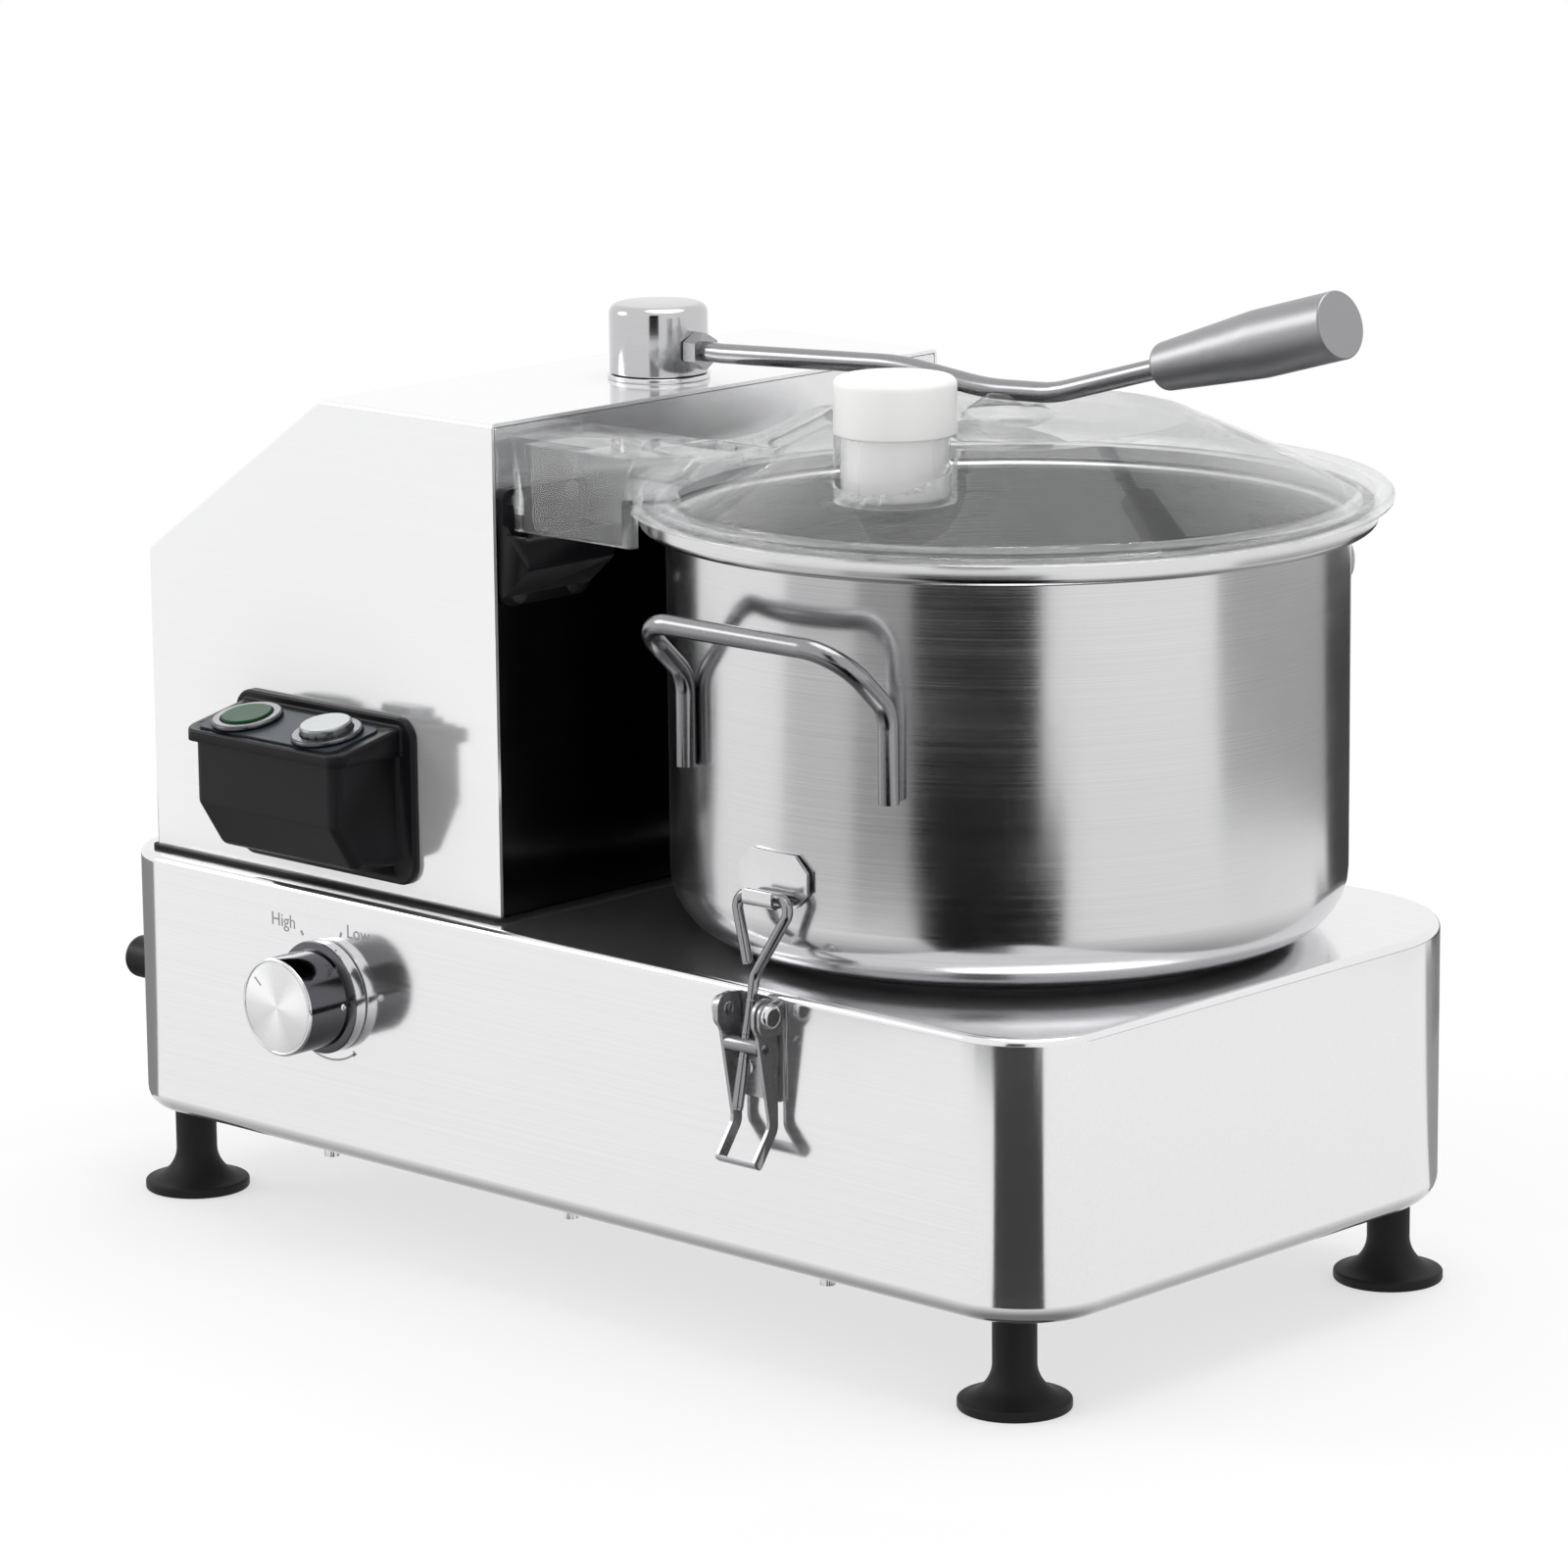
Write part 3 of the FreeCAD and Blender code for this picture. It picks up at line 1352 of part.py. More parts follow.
def make_lid():
    """The clear lid: dome, rim, hollow neck, feed tube and the arm's rest."""
    body = start_body("lid")
    rim = d.lid_rim_thickness
    turn_on_lathe(body, [
        (0.0, 0.0),
        (lid_radius, 0.0, d.lid_rim_round),
        (lid_radius, rim, d.lid_rim_round),
        (lid_foot_radius, rim, 3.0),
        (d.lid_top_radius, d.lid_height, 6.0),
        (0.0, d.lid_height),
    ])
    upper = outline(new_sketch(body, "XY_Plane", rim / 2), neck_outline(as_size(0.0)))
    pad(body, upper, d.neck_top - rim / 2)
    left = -(d.bowl_offset + d.tower_front) + d.neck_gap
    box = new_sketch(body, "XY_Plane", -d.neck_drop)
    rectangle(box, left, left + d.neck_length, -d.neck_near, -d.neck_far)
    pad(body, box, d.neck_drop + rim)
    clear = circle(new_sketch(body, "XY_Plane"), collar_radius + d.collar_clear)
    pocket(body, clear, d.neck_drop * 2)

    wall = d.lid_wall
    turn_on_lathe(body, [
        (0.0, -1.0),
        (lid_mouth_radius, -1.0),
        (lid_mouth_radius, rim - wall * 0.4, 3.0),
        (d.lid_top_radius - wall * 0.7, d.lid_height - wall, 4.0),
        (0.0, d.lid_height - wall),
    ], remove=True)
    inner = outline(new_sketch(body, "XY_Plane", rim), neck_outline(wall))
    pocket(body, inner, d.neck_top - rim - wall, upwards=True)
    collar = collar_radius + d.collar_clear
    near = d.neck_near - wall
    far = d.neck_far + wall
    below = new_sketch(body, "XY_Plane", -d.neck_drop)
    outline(below, [
        (left + wall, -near),
        (-root(collar * collar - near * near) - wall * 3, -near),
        (-root(collar * collar - far * far) - wall * 1.8, -far),
        (left + wall, -far),
    ])
    pocket(body, below, d.neck_drop + rim + 1.0, upwards=True)

    hook = new_sketch(body, "XY_Plane", -d.neck_drop)
    middle = -(d.neck_near + d.neck_far) / 2
    rectangle(hook, left, left + d.hook_thickness, middle - d.hook_width / 2, middle + d.hook_width / 2)
    pad(body, hook, d.hook_drop, downwards=True)
    gusset = new_sketch(body, "XZ_Plane", -middle + d.hook_width / 2 - d.hook_thickness)
    outline(gusset, [
        (left + 0.5, -d.neck_drop - d.hook_drop),
        (left + d.hook_thickness, -d.neck_drop - d.hook_drop),
        (left + d.hook_gusset, -d.neck_drop),
        (left + d.hook_gusset, -d.neck_drop + 0.5),
        (left + 0.5, -d.neck_drop + 0.5),
    ])
    pad(body, gusset, d.hook_thickness)

    tube = circle(new_sketch(body, "XY_Plane", d.tube_below), d.tube_radius, d.tube_place_x, -d.tube_place_y)
    pad(body, tube, d.tube_top - d.tube_below)
    bore = new_sketch(body, "XY_Plane", d.tube_top)
    circle(bore, d.tube_radius - d.tube_wall, d.tube_place_x, -d.tube_place_y)
    pocket(body, bore, d.tube_top)

    rest = tower_top + d.rod_low_height - d.rod_radius - d.seam_gap - lid_bottom
    bump_top = rest + d.saddle_depth
    turn_on_lathe(body, [
        (0.0, d.lid_height - 0.5),
        (d.bump_radius, d.lid_height - 0.5),
        (d.bump_radius, d.lid_height),
        (d.bump_top_radius, bump_top, 3.0),
        (0.0, bump_top),
    ])
    saddle = new_sketch(body, "YZ_Plane")
    outline(saddle, [
        (-d.rod_radius - 0.8, bump_top + 2.0),
        (-d.rod_radius - 0.8, rest, 2.5),
        (d.bump_radius + 2.0, rest),
        (d.bump_radius + 2.0, bump_top + 2.0),
    ])
    pocket(body, saddle, d.bump_radius * 2 + 4.0, both_sides=True)
    place(body, bowl_x, d.base_y, lid_bottom)

    seal = start_body("lid_seal")
    outer = collar_radius - d.bowl_wall - d.seam_gap
    turn_on_lathe(seal, [
        (outer - d.seal_width, -d.seal_height),
        (outer, -d.seal_height, 1.0),
        (outer, 0.0),
        (outer - d.seal_width, 0.0),
    ])
    place(seal, bowl_x, d.base_y, lid_bottom)


def make_plunger():
    """The food pusher: a thick cap over a hollow stem."""
    body = start_body("plunger")
    stem = d.tube_radius - d.tube_wall - d.plunger_stem_gap
    turn_on_lathe(body, [
        (0.0, -d.plunger_stem_length),
        (stem, -d.plunger_stem_length, 1.5),
        (stem, 0.0),
        (d.tube_radius, 0.0, 0.8),
        (d.tube_radius, d.plunger_cap_height, d.plunger_round),
        (0.0, d.plunger_cap_height),
    ])
    turn_on_lathe(body, [
        (0.0, -d.plunger_stem_length - 1.0),
        (stem - d.plunger_wall, -d.plunger_stem_length - 1.0),
        (stem - d.plunger_wall, d.plunger_cap_height - d.plunger_wall),
        (0.0, d.plunger_cap_height - d.plunger_wall),
    ], remove=True)
    place(body, bowl_x + d.tube_place_x, d.base_y - d.tube_place_y, lid_bottom + d.tube_top + d.seam_gap)


def make_lid_bracket():
    """The black bracket that takes the lid's hook, with its screws and switch."""
    body = start_body("lid_bracket")
    half_width = d.bracket_width / 2
    y = d.base_y - d.bracket_centre_y
    z = tower_bottom + d.bracket_bottom
    sketch = new_sketch(body, "YZ_Plane")
    rectangle(sketch, -half_width, half_width, 0.0, d.bracket_height, d.bracket_corner)
    pad(body, sketch, d.bracket_thickness)
    trough = new_sketch(body, "XZ_Plane")
    low = d.trough_bottom
    high = d.trough_top
    reach = d.bracket_thickness + d.trough_reach
    outline(trough, [
        (0.5, low - 8.0), (d.bracket_thickness, low - 8.0), (reach, low + 4.0, 3.0), (reach, high, 2.0),
        (d.bracket_thickness + 2.0, high, 2.0), (0.5, high + 8.0),
    ])
    pad(body, trough, d.bracket_width, both_sides=True)
    opening = new_sketch(body, "XY_Plane", high + 10.0)
    wall = d.trough_wall
    rectangle(opening, d.bracket_thickness, reach - wall, -half_width + wall, half_width - wall)
    pocket(body, opening, high - low + 6.0)
    holes = new_sketch(body, "YZ_Plane", d.bracket_thickness)
    shanks = new_sketch(body, "YZ_Plane", d.bracket_thickness)
    for side in (-1, 1):
        for level in (d.bracket_screw_low, d.bracket_screw_high):
            circle(holes, d.bracket_screw_radius + d.fit_gap, d.bracket_screw_x * side, level)
            circle(shanks, d.bracket_screw_shank + d.fit_gap, d.bracket_screw_x * side, level)
            head = cylinder("head", d.bracket_screw_radius, d.bracket_thickness / 2,
                            tower_face_x + d.bracket_thickness / 2, y + d.bracket_screw_x * side,
                            z + level, FACE_PLUS_X)
            shank = cylinder("shank", d.bracket_screw_shank, d.bracket_thickness,
                             tower_face_x, y + d.bracket_screw_x * side, z + level, FACE_PLUS_X)
            housing_fixings.append(fused("screw", [head, shank]))
    pocket(body, holes, d.bracket_thickness / 2)
    pocket(body, shanks, d.bracket_thickness * 2)
    place(body, tower_face_x, y, z)

    switch = start_body("safety_switch")
    half_switch = d.switch_width / 2
    sketch = new_sketch(switch, "YZ_Plane")
    rectangle(sketch, -half_switch, half_switch, 0.0, d.switch_height, 1.5)
    pad(switch, sketch, d.switch_depth, downwards=True)
    place(switch, tower_face_x - d.sheet_wall, y, z + d.trough_bottom)


# Swing arm


def make_arm():
    """The arm: post ring with its pin, cap, nut, bent rod and tapered grip."""
    post = start_body("arm_post")
    turn_on_lathe(post, [
        (0.0, 0.0),
        (d.post_ring_radius, 0.0, 0.5),
        (d.post_ring_radius, d.post_ring_height, 0.5),
        (d.post_pin_radius, d.post_ring_height),
        (d.post_pin_radius, d.post_pin_height),
        (0.0, d.post_pin_height),
    ])
    place(post, post_x, d.base_y, tower_top)

    cap_bottom = d.post_ring_height + d.post_gap
    pin_top = d.post_pin_height + d.post_gap
    cap = start_body("arm_cap")
    turn_on_lathe(cap, [
        (d.post_pin_radius + d.fit_gap, cap_bottom),
        (d.cap_radius, cap_bottom, 0.8),
        (d.cap_radius, cap_bottom + d.cap_height, d.cap_round),
        (0.0, cap_bottom + d.cap_height),
        (0.0, pin_top),
        (d.post_pin_radius + d.fit_gap, pin_top),
    ])
    socket = new_sketch(cap, "YZ_Plane", d.cap_radius)
    circle(socket, d.rod_radius + d.fit_gap, 0.0, d.rod_start_height)
    pocket(cap, socket, d.cap_radius - d.post_pin_radius - d.socket_floor)
    place(cap, post_x, d.base_y, tower_top)

    nut = start_body("arm_nut")
    sketch = new_sketch(nut, "YZ_Plane", d.cap_radius + 0.1)
    corner = d.rod_nut_radius
    points = []
    for step in range(6):
        angle = math.radians(60 * step + 30)
        points.append((corner * math.cos(angle), d.rod_start_height + corner * math.sin(angle)))
    outline(sketch, points)
    circle(sketch, d.rod_radius + d.fit_gap, 0.0, d.rod_start_height)
    pad(nut, sketch, d.rod_nut_length)
    place(nut, post_x, d.base_y, tower_top)

    start = (d.post_pin_radius + d.socket_floor + d.seam_gap).value
    end_x = d.rod_end_x.value
    rise = math.tan(math.radians(d.rod_angle.value))
    lift_x = d.rod_lift_x.value
    end_z = d.rod_lift_height.value + (end_x - lift_x) * rise
    points = [
        FreeCAD.Vector(start, 0, d.rod_start_height.value),
        FreeCAD.Vector(start + d.rod_straight.value, 0, d.rod_start_height.value),
        FreeCAD.Vector(d.rod_rise_x.value, 0, d.rod_rise_height.value),
        FreeCAD.Vector(d.rod_low_x.value, 0, d.rod_low_height.value),
        FreeCAD.Vector(lift_x, 0, d.rod_lift_height.value),
        FreeCAD.Vector(end_x, 0, end_z),
    ]
    bend = d.rod_bend.value
    shape = bent_wire(points, [bend, bend * 2, bend * 2, bend], d.rod_radius.value)
    keep(computed("arm_rod", shape, post_x, d.base_y, tower_top), "arm_rod")

    grip = start_body("arm_grip")
    bore = d.rod_radius + d.fit_gap
    along = (d.rod_end_x - d.grip_start_x) / cosine(d.rod_angle)
    turn_on_lathe(grip, [
        (0.0, along + d.seam_gap),
        (bore, along + d.seam_gap),
        (bore, 0.0),
        (d.grip_start_radius, 0.0, d.grip_round),
        (d.grip_end_radius, d.grip_length * 0.55, 60.0),
        (d.grip_end_radius, d.grip_length, 0.8),
        (0.0, d.grip_length),
    ])
    tilt = FreeCAD.Rotation(Y_DIRECTION, 90 - d.rod_angle.value)
    grip_z = d.rod_lift_height + (d.grip_start_x - d.rod_lift_x) * sine(d.rod_angle) / cosine(d.rod_angle)
    place(grip, post_x + d.grip_start_x, d.base_y, tower_top + grip_z, tilt)


# Cutter and drive

bowl_floor = bowl_bottom + d.bowl_wall
hub_z = bowl_floor + d.hub_lift


def make_hub():
    """The cutter hub, which covers the bowl's tube and seats on the shaft."""
    body = start_body("blade_hub")
    bore = d.shaft_radius + d.fit_gap
    under_top = d.hub_height - d.hub_top_thickness
    shaft_end = d.hub_height - 4.0
    turn_on_lathe(body, [
        (d.hub_inner_radius, 0.0),
        (d.hub_radius + 4.0, 0.0),
        (d.hub_radius + 4.0, d.blade_low_place),
        (d.hub_radius, d.blade_low_place),
        (d.hub_radius, d.hub_height - 6.0, 4.0),
        (d.hub_top_radius, d.hub_height, 3.0),
        (0.0, d.hub_height),
        (0.0, shaft_end),
        (bore, shaft_end),
        (bore, under_top - 7.0),
        (d.hub_inner_radius, under_top - 7.0, 2.0),
    ])
    place(body, bowl_x, d.base_y, hub_z)


def make_blade(label, level, twist):
    """A two-armed sickle blade clamped round the hub."""
    body = start_body(label)
    reach = d.blade_reach
    half = [
        (22.0, -14.0),
        (reach * 0.55, -27.0, 60.0),
        (reach, -6.0, 2.0),
        (reach * 0.95, 9.0, 3.0),
        (reach * 0.6, -6.0, 50.0),
        (24.0, 12.0),
    ]
    other = [(-as_size(corner[0]), -as_size(corner[1])) + corner[2:] for corner in half]
    pad(body, outline(new_sketch(body, "XY_Plane"), half + other), d.blade_thickness)
    ring = circle(new_sketch(body, "XY_Plane"), d.hub_radius + d.blade_ring_width)
    pad(body, ring, d.blade_thickness)
    hole = circle(new_sketch(body, "XY_Plane"), d.hub_radius + d.fit_gap)
    pocket(body, hole, d.blade_thickness * 3, both_sides=True)
    place(body, bowl_x, d.base_y, hub_z + level, FreeCAD.Rotation(Z_DIRECTION, twist))


def pulley_profile(radius, bore):
    """Half section of a V-belt pulley, from its bore outwards."""
    half = d.pulley_width / 2
    depth = d.groove_depth
    land = 1.5
    return [
        (bore, -half),
        (radius, -half),
        (radius, -half + land),
        (radius - depth, -d.belt_width / 4),
        (radius - depth, d.belt_width / 4),
        (radius, half - land),
        (radius, half),
        (bore, half),
    ]


def make_drive():
    """Shaft, bearings in their housing, pulleys, belt and the motor."""
    shaft = start_body("drive_shaft")
    shaft_low = base_bottom + d.shaft_bottom - d.pulley_width / 2
    shaft_high = hub_z + d.hub_height - 4.0 - d.seam_gap
    turn_on_lathe(shaft, [
        (0.0, shaft_low),
        (d.shaft_radius, shaft_low, 0.8),
        (d.shaft_radius, shaft_high, 0.8),
        (0.0, shaft_high),
    ])
    place(shaft, bowl_x, d.base_y, 0.0)

    under_deck = deck - d.sheet_wall
    housing = start_body("bearing_housing")
    bore = d.bearing_radius + d.fit_gap
    turn_on_lathe(housing, [
        (bore, -d.housing_length),
        (d.housing_radius, -d.housing_length),
        (d.housing_radius, -d.housing_flange_thickness, 3.0),
        (d.housing_flange_radius, -d.housing_flange_thickness),
        (d.housing_flange_radius, 0.0),
        (bore, 0.0),
    ])
    place(housing, bowl_x, d.base_y, under_deck)

    bearings = []
    lower = under_deck - d.housing_length + d.bearing_inset
    upper = under_deck - d.bearing_inset - d.bearing_width
    for level in (lower, upper):
        outer = cylinder("race", d.bearing_radius, d.bearing_width, bowl_x, d.base_y, level)
        inner = cylinder("race_bore", d.shaft_radius + d.fit_gap, d.bearing_width, bowl_x, d.base_y, level)
        bearings.append(cut("bearing", outer, inner))
    keep(grouped("shaft_bearings", bearings), "shaft_bearings")

    driven = start_body("driven_pulley")
    turn_on_lathe(driven, pulley_profile(d.driven_pulley_radius, d.shaft_radius + d.fit_gap))
    place(driven, bowl_x, d.base_y, pulley_z)
    small = start_body("motor_pulley")
    turn_on_lathe(small, pulley_profile(d.motor_pulley_radius, d.motor_shaft_radius + d.fit_gap))
    place(small, motor_x, d.base_y, pulley_z)
    make_belt()
    make_motor()


def make_belt():
    """The belt: two straight runs and an arc round each pulley."""
    span = (d.bowl_offset + d.motor_place_x).value
    lift = d.groove_depth.value - d.belt_gap.value
    big = d.driven_pulley_radius.value - lift
    small = d.motor_pulley_radius.value - lift
    thickness = d.belt_thickness.value

    def loop(extra):
        wide = big + extra
        narrow = small + extra
        tilt = math.asin((wide - narrow) / span)
        bowl_centre = FreeCAD.Vector(span, 0, 0)

        def on(centre, radius, angle):
            return centre + FreeCAD.Vector(radius * math.cos(angle), radius * math.sin(angle), 0)

        motor_centre = FreeCAD.Vector()
        upper = math.pi / 2 + tilt
        first = on(motor_centre, narrow, upper)
        second = on(bowl_centre, wide, upper)
        third = on(bowl_centre, wide, -upper)
        fourth = on(motor_centre, narrow, -upper)
        edges = [
            Part.LineSegment(first, second).toShape(),
            Part.Arc(second, on(bowl_centre, wide, 0.0), third).toShape(),
            Part.LineSegment(third, fourth).toShape(),
            Part.Arc(fourth, on(motor_centre, narrow, math.pi), first).toShape(),
        ]
        return Part.Face(Part.Wire(edges))

    belt_height = d.belt_width.value * 0.45
    band = loop(thickness).cut(loop(0.0)).extrude(FreeCAD.Vector(0, 0, belt_height))
    keep(computed("drive_belt", band, motor_x, d.base_y, pulley_z - d.belt_width * 0.225), "drive_belt")


def make_motor():
    """The motor on its mounting plate: ribbed body, end cap and shaft."""
    plate = start_body("motor_plate")
    half = d.motor_foot_size / 2
    sketch = new_sketch(plate, "XY_Plane")
    rectangle(sketch, -half, half, -half, half, 6.0)
    circle(sketch, d.motor_shaft_radius * 2)
    pad(plate, sketch, d.motor_foot_thickness)
    place(plate, motor_x, d.base_y, deck)

    motor_z = deck + d.motor_foot_thickness
    motor = start_body("motor_body")
    radius = d.motor_radius
    bore = d.motor_shaft_radius + d.seam_gap
    turn_on_lathe(motor, [
        (bore, 0.0),
        (radius, 0.0, 2.0),
        (radius, d.motor_length),
        (bore, d.motor_length),
    ])
    rib = new_sketch(motor, "XY_Plane", as_size(8.0))
    rectangle(rib, radius - 1.0, radius + d.rib_height, -d.rib_width / 2, d.rib_width / 2)
    first_rib = pad(motor, rib, d.motor_length - 16.0)
    ribs = motor.newObject("PartDesign::PolarPattern", "ribs")
    ribs.Originals = [first_rib]
    ribs.Axis = (rib, ["N_Axis"])
    ribs.Angle = 360.0
    tie(ribs, "Occurrences", d.rib_count)
    motor.Tip = ribs
    place(motor, motor_x, d.base_y, motor_z)

    cap = start_body("motor_end_cap")
    turn_on_lathe(cap, [
        (0.0, d.motor_length),
        (radius + d.rib_height, d.motor_length),
        (radius + d.rib_height, d.motor_length + d.motor_cap_length, 8.0),
        (0.0, d.motor_length + d.motor_cap_length),
    ])
    turn_on_lathe(cap, [
        (0.0, d.motor_length - 1.0),
        (radius, d.motor_length - 1.0),
        (radius, d.motor_length + d.motor_cap_length - 2.0, 6.0),
        (0.0, d.motor_length + d.motor_cap_length - 2.0),
    ], remove=True)
    place(cap, motor_x, d.base_y, motor_z)

    shaft = start_body("motor_shaft")
    shaft_low = pulley_z - d.pulley_width / 2
    shaft_high = motor_z + d.motor_length
    turn_on_lathe(shaft, [
        (0.0, shaft_low),
        (d.motor_shaft_radius, shaft_low, 0.8),
        (d.motor_shaft_radius, shaft_high),
        (0.0, shaft_high),
    ])
    place(shaft, motor_x, d.base_y, 0.0)


def make_speed_board():
    """The speed control board on four spacers, with its heat sink."""
    body = start_body("speed_control_board")
    half_length = d.board_length / 2
    half_width = d.board_width / 2
    sketch = new_sketch(body, "XY_Plane", d.board_lift)
    rectangle(sketch, -half_length, half_length, -half_width, half_width, 2.0)
    pad(body, sketch, d.board_thickness)
    for x_side in (-1, 1):
        for y_side in (-1, 1):
            spacer = new_sketch(body, "XY_Plane")
            inset = d.spacer_radius + 1.5
            circle(spacer, d.spacer_radius, (half_length - inset) * x_side, (half_width - inset) * y_side)
            pad(body, spacer, d.board_lift + 0.5)
    for step in range(5):
        fin = new_sketch(body, "XY_Plane", d.board_lift + d.board_thickness - 0.2)
        middle = d.heatsink_width * (step / 4 - 0.5)
        rectangle(fin, -d.heatsink_length / 2, d.heatsink_length / 2, middle - 1.2, middle + 1.2)
        pad(body, fin, d.heatsink_height)
    place(body, d.base_x - d.board_place_x, d.base_y + d.board_place_y, base_bottom + d.sheet_wall)


make_base_housing()
make_bottom_plate()
make_feet()
make_plate_screws()
make_gland()
make_tower()
control_box = make_control_box()
barrel_holes = make_panel_and_buttons()
make_knob()
make_bowl()
make_bowl_handles()
make_latches()
make_lid()
make_plunger()
make_lid_bracket()
make_arm()
make_hub()
make_blade("blade_lower", d.blade_low_place, 0.0)
make_blade("blade_upper", d.blade_high_place, d.blade_twist.value)
make_drive()
make_speed_board()
keep(grouped("housing_fixings", housing_fixings), "housing_fixings")

# The button barrels sink into the control box.
parts.remove(control_box)
control_box.Label = "control_box_solid"
box_with_holes = cut("control_box_cut", control_box, fused("barrel_holes", barrel_holes))
keep(box_with_holes, "control_box")

doc.recompute()
faults = []
for thing in doc.Objects:
    if "Invalid" in thing.State or "Error" in thing.State:
        faults.append(f"{thing.Label}: {thing.State}")
for thing in parts:
    if thing.Shape.isNull() or not thing.Shape.isValid():
        faults.append(f"{thing.Label}: shape is not valid")
if faults:
    raise RuntimeError("; ".join(faults))

os.makedirs("parts", exist_ok=True)
for thing in parts:
    thing.Shape.exportStep(f"parts/{thing.Label}.step")
print(f"{len(parts)} parts written")
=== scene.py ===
"""Dresses the bench bowl cutter: its finishes, its fine details and the studio round it."""

import json
import logging
import math
from dataclasses import dataclass
from enum import Enum
from typing import Any, ClassVar, Iterable

import bmesh
import bpy
from mathutils import Matrix, Vector

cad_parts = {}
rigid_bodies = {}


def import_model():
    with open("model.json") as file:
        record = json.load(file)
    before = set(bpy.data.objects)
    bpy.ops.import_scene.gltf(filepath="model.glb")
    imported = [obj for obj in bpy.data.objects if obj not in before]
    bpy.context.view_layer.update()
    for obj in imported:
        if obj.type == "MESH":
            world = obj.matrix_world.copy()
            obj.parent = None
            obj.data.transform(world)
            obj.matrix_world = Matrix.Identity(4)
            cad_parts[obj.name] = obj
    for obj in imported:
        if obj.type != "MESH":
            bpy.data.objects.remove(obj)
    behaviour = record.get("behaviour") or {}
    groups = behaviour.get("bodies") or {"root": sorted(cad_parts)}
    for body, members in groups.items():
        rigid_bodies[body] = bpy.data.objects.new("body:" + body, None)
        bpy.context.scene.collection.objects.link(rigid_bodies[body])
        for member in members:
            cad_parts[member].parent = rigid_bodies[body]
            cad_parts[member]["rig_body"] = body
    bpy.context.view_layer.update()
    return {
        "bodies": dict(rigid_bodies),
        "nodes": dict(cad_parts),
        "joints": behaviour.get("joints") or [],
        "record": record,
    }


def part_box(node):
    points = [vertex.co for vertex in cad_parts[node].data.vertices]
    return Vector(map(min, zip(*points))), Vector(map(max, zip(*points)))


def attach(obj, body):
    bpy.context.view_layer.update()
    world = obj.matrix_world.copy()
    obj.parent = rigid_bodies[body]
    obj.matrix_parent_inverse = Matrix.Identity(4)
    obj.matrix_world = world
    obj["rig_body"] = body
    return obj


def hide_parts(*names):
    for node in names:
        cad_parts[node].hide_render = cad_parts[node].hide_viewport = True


LOG = logging.getLogger("bowl_cutter")
FULL_TURN = 2.0 * math.pi
MERGE_DISTANCE = 1e-6
SMOOTH_ANGLE = math.radians(32.0)
UV_AROUND = "around"
UP = (0.0, 0.0, 1.0)
TO_FRONT = (0.0, -1.0, 0.0)

# Centre of the base in the frame, and the places that the pieces share.
BASE_X = -0.00621
BASE_Y = 0.00609
TOWER_TOP_Z = 0.3462
BOWL_X = BASE_X + 0.1288
BOWL_BOTTOM_Z = 0.1502
LID_BOTTOM_Z = 0.3170
POST_X = BASE_X - 0.0588
KNOB_X = BASE_X - 0.112
KNOB_Z = 0.107
SIDE_Y = BASE_Y - 0.1405

Colour = tuple[float, float, float]
Point = tuple[float, float, float]
Socket = bpy.types.NodeSocket


class Brushing(Enum):
    """The way that the brushing lines of a metal run."""

    AROUND = "around the piece's axis"
    ALONG_X = "along X"
    ALONG_Y = "along Y"
    # Its bright sectors are painted highlights in the colour.
    SPUN_PAINTED_HIGHLIGHTS = "around, with bright sectors"
    NONE = "none"


# How often the lines repeat along each coordinate: few times along a line, often across it.
LINE_SCALES: dict[Brushing, Point] = {
    Brushing.AROUND: (3.0, 2600.0, 1.0),
    Brushing.ALONG_X: (6.0, 1900.0, 1900.0),
    Brushing.ALONG_Y: (1900.0, 6.0, 1900.0),
    Brushing.SPUN_PAINTED_HIGHLIGHTS: (3.0, 2600.0, 1.0),
    Brushing.NONE: (900.0, 900.0, 900.0),
}


